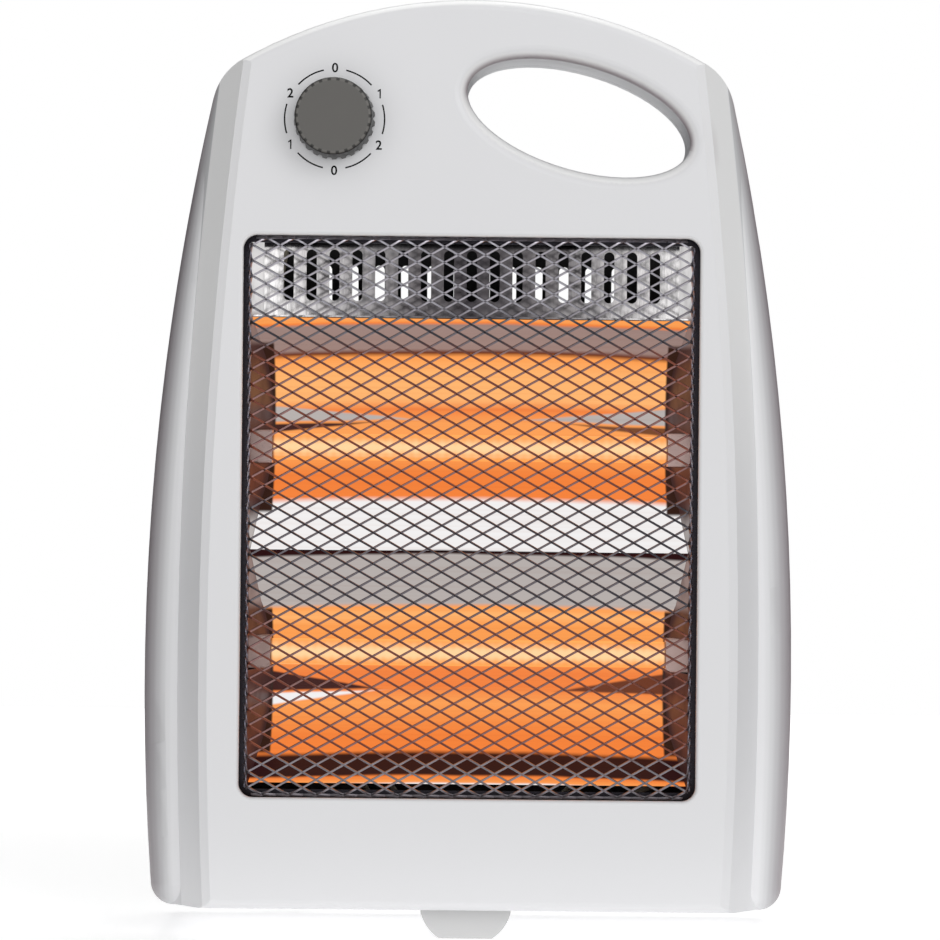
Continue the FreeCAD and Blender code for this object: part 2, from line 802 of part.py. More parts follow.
def front_holes():
    """Every opening through the front shell."""
    outside = ahead(S.front_depth + S.overrun)
    wall_inside = ahead(S.front_depth - S.wall - S.wall)
    dial = (-S.dial_offset, S.dial_level)
    holes = [window_cutter()]
    holes.append(handle_form("front_handle_hole", as_size(0), outside, PARTING + S.overrun))
    holes.append(cylinder("shaft_hole", "y", S.shaft_hole_radius, outside, wall_inside, dial))
    for index, spot in enumerate(switch_screw_places()):
        radius = S.switch_screw_radius + S.screw_slack
        holes.append(cylinder(f"switch_hole_{index}", "y", radius, outside, wall_inside, spot))
    depth = S.case_screw_length - S.case_screw_seat + S.screw_tip_gap
    for index, spot in enumerate(case_screw_places()):
        radius = S.case_screw_radius + S.screw_slack
        holes.append(cylinder(f"case_pilot_{index}", "y", radius, ahead(depth), behind(S.overrun), spot))
    deepest = S.seat_depth - S.guard_sheet - S.box_sheet + S.box_screw_length + S.screw_tip_gap
    for index, spot in enumerate(box_screw_places()):
        radius = S.box_screw_radius + S.screw_slack
        span = (ahead(deepest), ahead(S.seat_depth - S.overrun))
        holes.append(cylinder(f"box_pilot_{index}", "y", radius, *span, spot))
    tip_depth = S.tip_switch_base + S.tip_ear_gauge - S.tip_screw_length - S.screw_tip_gap
    for index, spot in enumerate(tip_screw_places()):
        radius = S.tip_screw_radius + S.screw_slack
        span = (tip_depth, S.tip_switch_base + S.overrun)
        holes.append(cylinder(f"tip_pilot_{index}", "z", radius, *span, spot))
    half_slot = S.foot_width / 2 + S.foot_slot_gap
    reach = S.foot_gauge / 2 + S.foot_slot_gap
    middle = ahead(S.foot_forward)
    floor = (-S.overrun, S.wall + S.foot_stop_gap)
    holes.append(box("foot_slot", (-half_slot, half_slot), (middle - reach, middle + reach), floor))
    return holes


def front_case():
    """The front shell with its raised panel, window, handle hole and bosses."""
    face = ahead(S.front_depth)
    outer, inner = front_outside(), front_inside()
    cavity = cut("front_cavity", inner, front_bosses())
    shell = cut("front_shell", outer, cavity)
    shell = cut("front_open", shell, *front_holes())
    shell = round_handle_edge("front_handle_edge", shell, face)
    half = S.window_width.value / 2
    low, high = S.window_base.value, (S.window_base + S.window_height).value

    def on_window(edge, faces):
        middle = edge.CenterOfMass
        return near(middle.y, face) and abs(middle.x) <= half and low <= middle.z <= high

    node("front_case", rounded("front_case_solid", shell, S.window_round, on_window))


def rear_case():
    """The rear shell with its screw wells, handle hole, vents and cable hole."""
    outer = rear_form("rear_outer", as_size(0), PARTING)
    inner = rear_form("rear_inner", S.wall, ahead(S.overrun))
    deep = behind(S.rear_depth)
    pillar = S.well_radius + S.well_wall
    solids = [handle_form("rear_handle_wall", S.wall, PARTING, behind(S.neck_depth))]
    for index, spot in enumerate(case_screw_places()):
        solids.append(cylinder(f"rear_pillar_{index}", "y", pillar, PARTING, deep, spot))
    cavity = cut("rear_cavity", inner, fuse("rear_bosses", *solids))
    shell = cut("rear_shell", outer, cavity)
    outside = deep + S.overrun
    holes = [handle_form("rear_handle_hole", as_size(0), ahead(S.overrun), outside)]
    for index, spot in enumerate(case_screw_places()):
        seat = behind(S.case_screw_seat)
        radius = S.case_screw_radius + S.screw_slack
        holes.append(cylinder(f"case_well_{index}", "y", S.well_radius, seat, outside, spot))
        holes.append(cylinder(f"case_hole_{index}", "y", radius, ahead(S.overrun), outside, spot))
    gland_spot = (-S.gland_offset, S.gland_level)
    gland_radius = S.gland_neck_radius + S.screw_slack
    inside = behind(S.rear_depth - S.wall - S.overrun)
    holes.append(cylinder("gland_hole", "y", gland_radius, inside, outside, gland_spot))
    shell = cut("rear_open", shell, *holes)
    shell = round_handle_edge("rear_handle_edge", shell, behind(S.neck_depth))
    body = doc.addObject("PartDesign::Body", "rear_case_body")
    body.BaseFeature = shell
    doc.recompute()
    slot_row(body, "outlets", S.outlet_low, S.outlet_high, S.vent_width, S.vent_pitch, S.outlet_count)
    slot_row(body, "intakes", S.intake_low, S.intake_high, S.vent_width, S.vent_pitch, S.intake_count)
    node("rear_case", body)


def case_screws():
    """The screws that join the shells, with their heads in the rear wells."""
    sizes = (S.case_screw_radius, S.case_screw_length, S.screw_head_radius)
    seat = behind(S.case_screw_seat)
    spots = enumerate(case_screw_places())
    screws = [screw(f"case_screw_{index}", "y", seat, -1, spot, *sizes) for index, spot in spots]
    node("case_screws", fuse("case_screw_group", *screws))


# Guard and reflector box


def rounded_block(name, half, y, z, corner):
    """A block across the middle with round corners, seen from the front."""
    block = box(f"{name}_block", (-half, half), y, z)
    return rounded(name, block, corner, runs_along_y)


def guard_half():
    """Half the width of the guard's tray."""
    return S.window_width / 2 - S.guard_gap


def guard_levels():
    """The low and high edge of the guard's tray."""
    low = S.window_base + S.guard_gap
    return low, S.window_base + S.window_height - S.guard_gap


def guard_holes(y):
    """Diamond outlines of the expanded metal, in two interleaved lattices, at this y place."""
    wide, tall = S.guard_cell_width.value, S.guard_cell_height.value
    spacing = wide * tall / math.hypot(wide, tall)
    open_share = 1 - S.guard_strand.value / spacing
    low, high = (level.value for level in guard_levels())
    margin = S.guard_margin.value
    columns = int((2 * guard_half().value - 2 * margin) // wide)
    rows = int((high - low - 2 * margin) // tall)
    wires = []
    for lattice in (0, 1):
        for column in range(columns - lattice):
            for row in range(rows - lattice):
                x = (column - (columns - 1 - lattice) / 2) * wide
                z = (low + high) / 2 + (row - (rows - 1 - lattice) / 2) * tall
                right, up = wide / 2 * open_share, tall / 2 * open_share
                corners = [Vector(x + right, y, z), Vector(x, y, z + up)]
                corners += [Vector(x - right, y, z), Vector(x, y, z - up)]
                wires.append(Part.makePolygon(corners + corners[:1]))
    return wires


def guard():
    """The guard's holed tray, and the flat frame that its edge is welded to."""
    front = S.front_depth - S.guard_recess
    low, high = guard_levels()
    half = guard_half()
    sheet = S.guard_sheet
    corner = S.window_corner - S.guard_gap
    face_y = ahead(front)
    bend_y = ahead(front - sheet)
    seat_y = ahead(S.seat_depth)
    blank = rounded_block("guard_blank", half, (face_y, bend_y), (low, high), corner)
    rim = rounded_block("guard_rim", half, (bend_y, seat_y), (low, high), corner)
    hollow_y = (bend_y - S.overrun, seat_y + S.overrun)
    hollow_z = (low + sheet, high - sheet)
    hollow = rounded_block("guard_hollow", half - sheet, hollow_y, hollow_z, corner - sheet)
    doc.recompute()
    fronts = [face for face in blank.Shape.Faces if near(face.BoundBox.YMax, face_y)]
    wires = [fronts[0].OuterWire] + guard_holes(face_y.value)
    net = doc.addObject("Part::Feature", "guard_net")
    net.Shape = Part.makeFace(wires, "Part::FaceMakerBullseye").extrude(Vector(0, sheet.value, 0))
    mesh = fuse("guard_mesh_solid", net, cut("guard_return", rim, hollow))
    node("guard_mesh", mesh)

    y = (ahead(S.seat_depth), ahead(S.seat_depth - sheet))
    rim_half = half + S.frame_side_rim
    ends = (low - S.frame_end_rim, high + S.frame_end_rim)
    plate = rounded_block("frame_plate", rim_half, y, ends, S.window_corner)
    opening_y = (y[0] - S.overrun, y[1] + S.overrun)
    opening_half = S.box_front_width / 2
    opening = box("frame_opening", (-opening_half, opening_half), opening_y, (low + sheet, high - sheet))
    holes = screw_holes("frame_hole", opening_y)
    node("guard_frame", cut("guard_frame_solid", plate, opening, *holes))


def screw_holes(name, y):
    """Clearance holes for the screws of the reflector box."""
    radius = S.box_screw_radius + S.screw_slack
    spots = enumerate(box_screw_places())
    return [cylinder(f"{name}_{index}", "y", radius, *y, spot) for index, spot in spots]


def box_front():
    """How far ahead of the parting plane the reflector box's flanges begin."""
    return S.seat_depth - S.guard_sheet


def box_half(depth):
    """Half the box's inner width at a depth ahead of the parting plane."""
    narrowing = (S.box_front_width - S.box_back_width) / 2
    return S.box_front_width / 2 - narrowing * (box_front() - depth) / S.box_depth


def box_inside(name, front, back, z):
    """The room between the slanted side plates, less the fit gap, between two depths ahead."""
    pairs = []
    for depth in (front, back):
        half = box_half(depth) - S.fit_gap
        pairs.append((-half, half))
    return wedge(name, (ahead(front), ahead(back)), z, *pairs)


def tube_levels():
    """The heights of the upper and the lower tube."""
    return {"upper": S.ridge_height + S.tube_offset, "lower": S.ridge_height - S.tube_offset}


def side_plates():
    """The slanted side plates, each with a front flange and a notch for each ceramic cap."""
    front = box_front()
    back = front - S.box_depth
    z = (S.box_base, S.box_base + S.box_height)
    flange_edge = guard_half() + S.frame_side_rim
    flange_y = (ahead(front), ahead(front - S.box_sheet))
    notch_half = S.cap_size / 2 + S.fit_gap
    for side, sign in SIDES:
        name = f"{side}_side_plate"
        pairs = []
        for depth in (front, back):
            half = box_half(depth)
            pairs.append(ordered(half * sign, (half + S.box_sheet) * sign))
        wall = wedge(f"{name}_wall", (ahead(front), ahead(back)), z, *pairs)
        x = ordered(box_half(front) * sign, flange_edge * sign)
        flange = box(f"{name}_flange", x, flange_y, z)
        plate = fuse(f"{name}_sheet", wall, flange)
        cutters = screw_holes(f"{name}_hole", (ahead(front + S.overrun), ahead(front - S.overrun)))
        notch_x = ordered(box_half(back) * sign - S.overrun * sign, flange_edge * sign)
        notch_y = (flange_y[1], behind(S.tube_setback) + notch_half)
        for level_name, level in tube_levels().items():
            notch_z = (level - notch_half, level + notch_half)
            cutters.append(box(f"{name}_{level_name}_notch", notch_x, notch_y, notch_z))
        relief_y = (behind(S.plate_top_setback), ahead(back - S.overrun))
        relief_z = (S.ridge_height + S.trough_height, z[1] + S.overrun)
        cutters.append(box(f"{name}_relief", notch_x, relief_y, relief_z))
        node(name, cut(f"{name}_solid", plate, *cutters))


def box_screws():
    """The screws through both flanges into the front shell's bosses."""
    sizes = (S.box_screw_radius, S.box_screw_length, S.switch_screw_head)
    seat = ahead(box_front() - S.box_sheet)
    spots = enumerate(box_screw_places())
    screws = [screw(f"box_screw_{index}", "y", seat, -1, spot, *sizes) for index, spot in spots]
    node("box_screws", fuse("box_screw_group", *screws))


def trough_back():
    """How far behind the parting plane a trough's back reaches."""
    return S.wing_setback + S.trough_sag + S.reflector_gauge


def back_levels(sign):
    """The height where the inner wing ends and the one where the outer wing begins."""
    inner = S.ridge_height + (S.ridge_gap / 2 + S.inner_wing) * sign
    outer = S.ridge_height + (S.trough_height - S.outer_wing) * sign
    return inner, outer


def reflectors():
    """Two polished troughs, mirrored about the ridge between them."""
    front = ahead(S.trough_front)
    wing = behind(S.wing_setback)
    for name, sign in (("upper", 1), ("lower", -1)):
        ridge = S.ridge_height + S.ridge_gap / 2 * sign
        lip = S.ridge_height + S.trough_height * sign
        inner, outer = back_levels(sign)
        chord = (outer - inner) * sign
        radius = (chord * chord / 4 + S.trough_sag * S.trough_sag) / (2 * S.trough_sag)
        line = [(front, ridge), (wing, inner), (wing, outer), (front, lip)]
        gauge = S.reflector_gauge
        outline = line + [(y + gauge, z) for y, z in reversed(line)]
        body = doc.addObject("PartDesign::Body", f"{name}_trough")
        sketch = sketch_on(body, f"{name}_trough_profile", "YZ_Plane")
        draw(sketch, outline, {1: (radius, sign), 5: (radius, -sign)})
        pad(body, sketch, S.box_front_width, midplane=True)
        z = ordered(ridge, lip)
        room = box_inside(f"{name}_trough_room", S.trough_front, -trough_back(), z)
        node(f"{name}_reflector", common(f"{name}_reflector_solid", body, room))


def slotted_plate():
    """The polished plate above the troughs, with a shelf forward and a row of upright slots."""
    low = S.ridge_height + S.trough_height + S.ridge_gap
    back = S.slot_plate_setback + S.slot_plate_gauge
    face = behind(S.slot_plate_setback)
    half = box_half(-back) - S.fit_gap
    plate = box("slotted_sheet", (-half, half), (face, behind(back)), (low, S.slot_plate_top))
    shelf = box_inside("slotted_shelf", S.trough_front, -back, (low, low + S.slot_plate_gauge))
    body = doc.addObject("PartDesign::Body", "slotted_plate_body")
    body.BaseFeature = fuse("slotted_blank", plate, shelf)
    doc.recompute()
    sizes = (S.slot_low, S.slot_high, S.slot_width, S.slot_pitch, S.slot_count)
    slot_row(body, "plate_slots", *sizes, forward=True)
    node("slotted_plate", body)


# Heating tubes


def tube_centre(level):
    """The y and z place of a tube's axis."""
    return (behind(S.tube_setback), level)


def quartz_tubes():
    """The two hollow quartz tubes, seated in their caps."""
    half = S.tube_span / 2 + S.tube_seat
    for name, level in tube_levels().items():
        centre = tube_centre(level)
        glass = cylinder(f"{name}_glass", "x", S.tube_radius, -half, half, centre)
        ends = (-half - S.overrun, half + S.overrun)
        bore = cylinder(f"{name}_glass_bore", "x", S.tube_radius - S.tube_wall, *ends, centre)
        node(f"{name}_quartz_tube", cut(f"{name}_quartz_tube_solid", glass, bore))


def ceramic_caps():
    """A ceramic block on each tube end, with a seat for the tube and a bore for the stud."""
    inner = S.tube_span / 2
    outer = inner + S.cap_length
    seat = inner + S.tube_seat + S.cap_bore_slack
    half = S.cap_size / 2
    for level_name, level in tube_levels().items():
        y, z = tube_centre(level)
        for side, sign in SIDES:
            name = f"{level_name}_{side}_cap"
            x = ordered(inner * sign, outer * sign)
            block = box(f"{name}_block", x, (y - half, y + half), (z - half, z + half))
            along_x = lambda edge, faces: abs(edge.tangentAt(edge.FirstParameter).x) > 1 - TOUCH_SHARE
            block = rounded(f"{name}_rounded", block, S.cap_edge, along_x)
            tube_x = ordered((inner - S.overrun) * sign, seat * sign)
            tube = cylinder(f"{name}_seat", "x", S.tube_radius + S.cap_bore_slack, *tube_x, (y, z))
            stud_x = ordered(inner * sign, (outer + S.overrun) * sign)
            stud = cylinder(f"{name}_bore", "x", S.stud_radius + S.screw_slack, *stud_x, (y, z))
            node(name, cut(f"{name}_solid", block, tube, stud))


def blade_end():
    """How far from the middle the tubes' end terminals reach."""
    return S.tube_span / 2 + S.cap_length + S.blade_length


def cap_terminals():
    """A stud in each coil end with a flat tab outside its cap."""
    inner = S.tube_span / 2 - S.stud_reach
    outer = S.tube_span / 2 + S.cap_length
    pieces = []
    for level_name, level in tube_levels().items():
        y, z = tube_centre(level)
        for side, sign in SIDES:
            name = f"{level_name}_{side}_terminal"
            stud = cylinder(f"{name}_stud", "x", S.stud_radius, *ordered(inner * sign, outer * sign), (y, z))
            x = ordered(outer * sign, blade_end() * sign)
            thick = (y - S.blade_gauge / 2, y + S.blade_gauge / 2)
            tall = (z - S.blade_width / 2, z + S.blade_width / 2)
            pieces.append(fuse(name, stud, blade(f"{name}_blade", x, thick, tall)))
    node("cap_terminals", fuse("cap_terminal_group", *pieces))


def biarc(start, start_way, end, end_way):
    """Two arcs that leave start along start_way, reach end along end_way and meet smoothly."""
    gap = end - start
    ways = start_way + end_way
    a = 2 * (1 - start_way.dot(end_way))
    b = 2 * gap.dot(ways)
    c = -gap.dot(gap)
    reach = (-b + math.sqrt(b * b - 4 * a * c)) / (2 * a)
    first, second = start + start_way * reach, end - end_way * reach
    middle = (first + second) / 2
    return [bend(start, first, middle), bend(middle, second, end)]


def bend(start, corner, end):
    """The arc that touches start-corner and corner-end, which are equally long."""
    foot = (start + end) / 2
    half_turn = math.atan2((corner - foot).Length, (foot - start).Length)
    share = math.tan(half_turn / 2) / math.tan(half_turn)
    return Part.Arc(start, foot + (corner - foot) * share, end).toShape()


def tube_along(edges, radius):
    """A round solid along a path of edges that meet smoothly."""
    path = Part.Wire(edges)
    way = edges[0].tangentAt(edges[0].FirstParameter)
    section = Part.Wire(Part.Circle(edges[0].valueAt(edges[0].FirstParameter), way, radius).toShape())
    return path.makePipeShell([section], True, False)


def coil(name, radius, wire, length, turns):
    """A coil about z from the origin, wound from quarter turn arcs, with straight ends."""
    steps = int(turns.value) * 2
    rise = length.value / steps
    lead = Vector(0, radius.value * math.pi, rise).normalize()

    def spot(step):
        angle = math.pi * step
        return Vector(radius.value * math.cos(angle), radius.value * math.sin(angle), rise * step)

    def way(step):
        sign = math.cos(math.pi * step)
        return Vector(0, lead.y * sign, lead.z)

    stub = 2 * wire.value
    edges = [Part.makeLine(spot(0) - way(0) * stub, spot(0))]
    for step in range(steps):
        edges += biarc(spot(step), way(step), spot(step + 1), way(step + 1))
    edges.append(Part.makeLine(spot(steps), spot(steps) + way(steps) * stub))
    obj = doc.addObject("Part::Feature", f"{name}_solid")
    obj.Shape = tube_along(edges, wire.value)
    points = [point for edge in edges for point in edge.discretize(9)]
    turn = len(points) * 2 // (3 * int(turns.value))
    gaps = [(a - b).Length for i, a in enumerate(points) for b in points[i + turn:]]
    print(f"{name}: least gap to itself {min(gaps) - 2 * wire.value:.2f} mm")
    return obj


def filaments():
    """The heating coil in each tube, wound over the studs at its ends."""
    half = S.tube_span / 2 - S.stud_reach + S.coil_overlap
    for name, level in tube_levels().items():
        obj = coil(f"{name}_filament", S.coil_radius, S.coil_wire, 2 * half, S.coil_turns)
        y, z = tube_centre(level)
        obj.Placement = FreeCAD.Placement(Vector(-half.value, y.value, z.value), AXIS_TURNS["x"])
        node(f"{name}_filament", obj)


# Dial


def rotary_switch():
    """The rotary switch behind the dial, with its shaft, screws and tabs."""
    front = S.front_depth - S.wall
    back = front - S.switch_depth
    half = S.switch_width / 2
    dial = (-S.dial_offset, S.dial_level)
    x, z = dial
    y = (ahead(front), ahead(back))
    block = box("switch_block", (x - half, x + half), y, (z - half, z + half))
    end = ahead(back + S.shaft_end_gap)
    outside = ahead(front + S.overrun)
    holes = [cylinder("switch_bore", "y", S.shaft_radius + S.shaft_slack, outside, end, dial)]
    radius = S.switch_screw_radius + S.screw_slack
    tip = ahead(S.front_depth - S.switch_screw_length - S.screw_tip_gap)
    for index, spot in enumerate(switch_screw_places()):
        holes.append(cylinder(f"switch_pilot_{index}", "y", radius, outside, tip, spot))
    node("switch_body", cut("switch_body_solid", block, *holes))

    tip = ahead(S.front_depth + S.knob_gap + S.hub_bore_depth - S.shaft_end_gap / 2)
    start = end - S.shaft_end_gap / 2
    node("switch_shaft", cylinder("switch_shaft_solid", "y", S.shaft_radius, tip, start, dial))

    sizes = (S.switch_screw_radius, S.switch_screw_length, S.switch_screw_head)
    seat = ahead(S.front_depth)
    spots = enumerate(switch_screw_places())
    screws = [screw(f"switch_screw_{index}", "y", seat, 1, spot, *sizes) for index, spot in spots]
    node("switch_screws", fuse("switch_screw_group", *screws))

    blades = []
    for index in range(-1, 2):
        middle = x + S.switch_blade_spread * index
        thick = (middle - S.blade_gauge / 2, middle + S.blade_gauge / 2)
        tall = (z - S.blade_width / 2, z + S.blade_width / 2)
        deep = (ahead(back), ahead(back - S.blade_length))
        blades.append(blade(f"switch_blade_{index + 1}", thick, deep, tall))
    node("switch_terminals", fuse("switch_terminal_group", *blades))


def knob():
    """The fluted knob, hollow underneath round its hub, built upright and turned to the front."""
    body = doc.addObject("PartDesign::Body", "knob_body")
    sketch = sketch_on(body, "knob_profile", "XZ_Plane")
    bore = S.shaft_radius + S.shaft_slack
    skirt = S.knob_radius - S.knob_skirt
    top = S.knob_height
    corners = [(bore, 0), (S.hub_radius, 0), (S.hub_radius, S.knob_hollow), (skirt, S.knob_hollow)]
    corners += [(skirt, 0), (S.knob_radius, 0), (S.knob_face_radius, top - S.knob_edge)]
    corners += [(S.knob_face_radius - S.knob_edge, top), (0, top), (0, S.hub_bore_depth)]
    corners += [(bore, S.hub_bore_depth)]
    draw(sketch, corners, {6: (S.knob_edge, 1)})
    turned = body.newObject("PartDesign::Revolution", "knob_turned")
    turned.Profile = sketch
    turned.ReferenceAxis = (sketch, ["V_Axis"])
    flute_sketch = sketch_on(body, "knob_flute", "XY_Plane")
    spot = (S.knob_radius + S.flute_offset, as_size(0))
    centre = Vector(spot[0].value, 0, 0)
    circle = flute_sketch.addGeometry(Part.Circle(centre, Vector(0, 0, 1), S.flute_radius.value))
    pin(flute_sketch, (circle, 3), spot)
    constrain(flute_sketch, "Radius", (circle,), S.flute_radius)
    flute = body.newObject("PartDesign::Pocket", "knob_flute_cut")
    flute.Profile = flute_sketch
    flute.Type = "ThroughAll"
    flute.Reversed = True
    ring = body.newObject("PartDesign::PolarPattern", "knob_flutes")
    axis = [line for line in body.Origin.OriginFeatures if line.Role == "Z_Axis"]
    ring.Originals = [flute]
    ring.Axis = (axis[0], [""])
    bind(ring, "Occurrences", S.flute_count)
    body.Tip = ring
    body.Placement = FreeCAD.Placement(Vector(), Rotation(Vector(1, 0, 0), 90))
    place(body, -S.dial_offset, ahead(S.front_depth + S.knob_gap), S.dial_level)
    node("knob", body)


# Tip-over safety switch


def tip_over_foot():
    """The foot that hangs through the base, with a stop above its slot and a stem."""
    body = doc.addObject("PartDesign::Body", "foot_blade")
    sketch = sketch_on(body, "foot_outline", "XZ_Plane")
    half, tip = S.foot_width / 2, S.foot_tip_width / 2
    low, shoulder = -S.foot_reach, -S.foot_shoulder
    stop = S.wall + S.foot_stop_gap
    corners = [(-tip, low), (tip, low), (half, shoulder), (half, stop), (-half, stop), (-half, shoulder)]
    draw(sketch, corners, {1: (S.foot_side_radius, 1), 5: (S.foot_side_radius, 1)})
    pad(body, sketch, S.foot_gauge, midplane=True)
    place(body, 0, ahead(S.foot_forward), 0)
    middle = ahead(S.foot_forward)
    wide, deep = S.foot_stop_width / 2, S.foot_stop_depth / 2
    top = stop + S.foot_stop_gauge
    plate = box("foot_stop", (-wide, wide), (middle - deep, middle + deep), (stop, top))
    stem = cylinder("foot_stem", "z", S.stem_radius, top, S.stem_top, (0, middle))
    node("tip_over_foot", fuse("tip_over_foot_solid", body, plate, stem))


def tip_over_switch():
    """The switch housing that the foot's stem runs in, with its screws and tabs."""
    middle = ahead(S.foot_forward)
    base = S.tip_switch_base
    top = base + S.tip_switch_height
    half, deep = S.tip_switch_width / 2, S.tip_switch_depth / 2
    y = (middle - deep, middle + deep)
    block = box("tip_block", (-half, half), y, (base, top))
    ears = box("tip_ears", (-S.tip_ear_reach, S.tip_ear_reach), y, (base, base + S.tip_ear_gauge))
    radius = S.stem_radius + S.stem_slack
    span = (base - S.overrun, top - S.tip_switch_roof)
    holes = [cylinder("tip_bore", "z", radius, *span, (0, middle))]
    for index, spot in enumerate(tip_screw_places()):
        span = (base - S.overrun, base + S.overrun)
        holes.append(cylinder(f"tip_ear_hole_{index}", "z", S.tip_screw_radius + S.screw_slack, *span, spot))
    node("tip_over_switch", cut("tip_over_switch_solid", fuse("tip_housing", block, ears), *holes))

    sizes = (S.tip_screw_radius, S.tip_screw_length, S.tip_screw_head)
    seat = base + S.tip_ear_gauge
    spots = enumerate(tip_screw_places())
    screws = [screw(f"tip_screw_{index}", "z", seat, -1, spot, *sizes) for index, spot in spots]
    node("tip_over_screws", fuse("tip_screw_group", *screws))

    blades = []
    for side, sign in SIDES:
        x = S.tip_blade_spread * sign
        thick = (x - S.blade_gauge / 2, x + S.blade_gauge / 2)
        tall = (S.tip_blade_level - S.blade_width / 2, S.tip_blade_level + S.blade_width / 2)
        blades.append(blade(f"tip_{side}_blade", thick, (y[1], y[1] + S.blade_length), tall))
    node("tip_over_terminals", fuse("tip_terminal_group", *blades))


def tip_over_spring():
    """The spring round the stem, between the foot's stop and the switch housing."""
    low = S.wall + S.foot_stop_gap + S.foot_stop_gauge + S.spring_gap + S.spring_wire
    high = S.tip_switch_base - S.spring_gap - S.spring_wire
    obj = coil("tip_over_spring", S.spring_radius, S.spring_wire, high - low, S.spring_turns)
    obj.Placement = FreeCAD.Placement(Vector(0, ahead(S.foot_forward).value, low.value), Rotation())
    node("tip_over_spring", obj)


# Electrical parts in the rear shell


def cutout_level():
    """The height of the thermal cut-out, at the middle of the upper trough's back."""
    inner, outer = back_levels(1)
    return (inner + outer) / 2


def thermal_cutout():
    """The thermal cut-out's can on its flange, flat on the upper trough, with two tabs."""
    level = cutout_level()
    start = trough_back()
    seat = start + S.cutout_flange_gauge
    end = seat + S.cutout_depth
    wide, tall = S.cutout_flange_width / 2, S.cutout_flange_height / 2
    flange = box("cutout_flange", (-wide, wide), (behind(start), behind(seat)), (level - tall, level + tall))
    can = cylinder("cutout_can", "y", S.cutout_radius, behind(seat), behind(end), (0, level))
    node("thermal_cutout", fuse("thermal_cutout_solid", flange, can))
    blades = []
    for side, sign in SIDES:
        x = S.cutout_blade_spread * sign
        thick = (x - S.blade_gauge / 2, x + S.blade_gauge / 2)
        deep = (behind(end), behind(end + S.blade_length))
        high = (level - S.blade_width / 2, level + S.blade_width / 2)
        blades.append(blade(f"cutout_{side}_blade", thick, deep, high))
    node("cutout_terminals", fuse("cutout_terminal_group", *blades))


def terminal_block():
    """The two-pole terminal block on the rear wall, with a blind bore for each lead."""
    back = S.rear_depth - S.wall
    front = back - S.block_depth
    half, tall = S.block_width / 2, S.block_height / 2
    x = (-S.block_offset - half, -S.block_offset + half)
    z = (S.block_level - tall, S.block_level + tall)
    block = box("block_body", x, (behind(front), behind(back)), z)
    bores = []
    for side, sign in SIDES:
        spot = (S.block_pole_spread * sign - S.block_offset, S.block_level)
        span = (behind(front - S.overrun), behind(front + S.block_bore_depth))
        bores.append(cylinder(f"block_{side}_bore", "y", S.block_bore_radius, *span, spot))
    node("terminal_block", cut("terminal_block_solid", block, *bores))


def cable_gland():
    """The rubber gland in the rear wall that the mains cable would pass through."""
    outside = S.rear_depth
    inside = S.rear_depth - S.wall
    spot = (-S.gland_offset, S.gland_level)
    rim = outside + S.gland_flange_gauge
    nose = rim + S.gland_nose_length
    back = inside - S.gland_flange_gauge
    neck = cylinder("gland_neck", "y", S.gland_neck_radius, behind(back), behind(nose), spot)
    outer = cylinder("gland_outer", "y", S.gland_flange_radius, behind(outside), behind(rim), spot)
    inner = cylinder("gland_inner", "y", S.gland_flange_radius, behind(back), behind(inside), spot)
    span = (behind(back - S.overrun), behind(nose + S.overrun))
    bore = cylinder("gland_bore", "y", S.gland_bore_radius, *span, spot)
    node("cable_gland", cut("cable_gland_solid", fuse("gland_form", neck, outer, inner), bore))


# Leads


def lead(name, *points):
    """An insulated lead along straight runs joined by arcs as large as the runs allow."""
    spots = [Vector(*(as_size(number).value for number in point)) for point in points]
    edges = []
    last = spots[0]
    for before, corner, after in zip(spots, spots[1:], spots[2:]):
        reach = BEND_SHARE * min((corner - before).Length, (after - corner).Length)
        start = corner + (before - corner).normalize() * reach
        end = corner + (after - corner).normalize() * reach
        edges += [Part.makeLine(last, start), bend(start, corner, end)]
        last = end
    edges.append(Part.makeLine(last, spots[-1]))
    obj = doc.addObject("Part::Feature", f"{name}_solid")
    obj.Shape = tube_along(edges, S.lead_radius.value)
    node(name, obj)


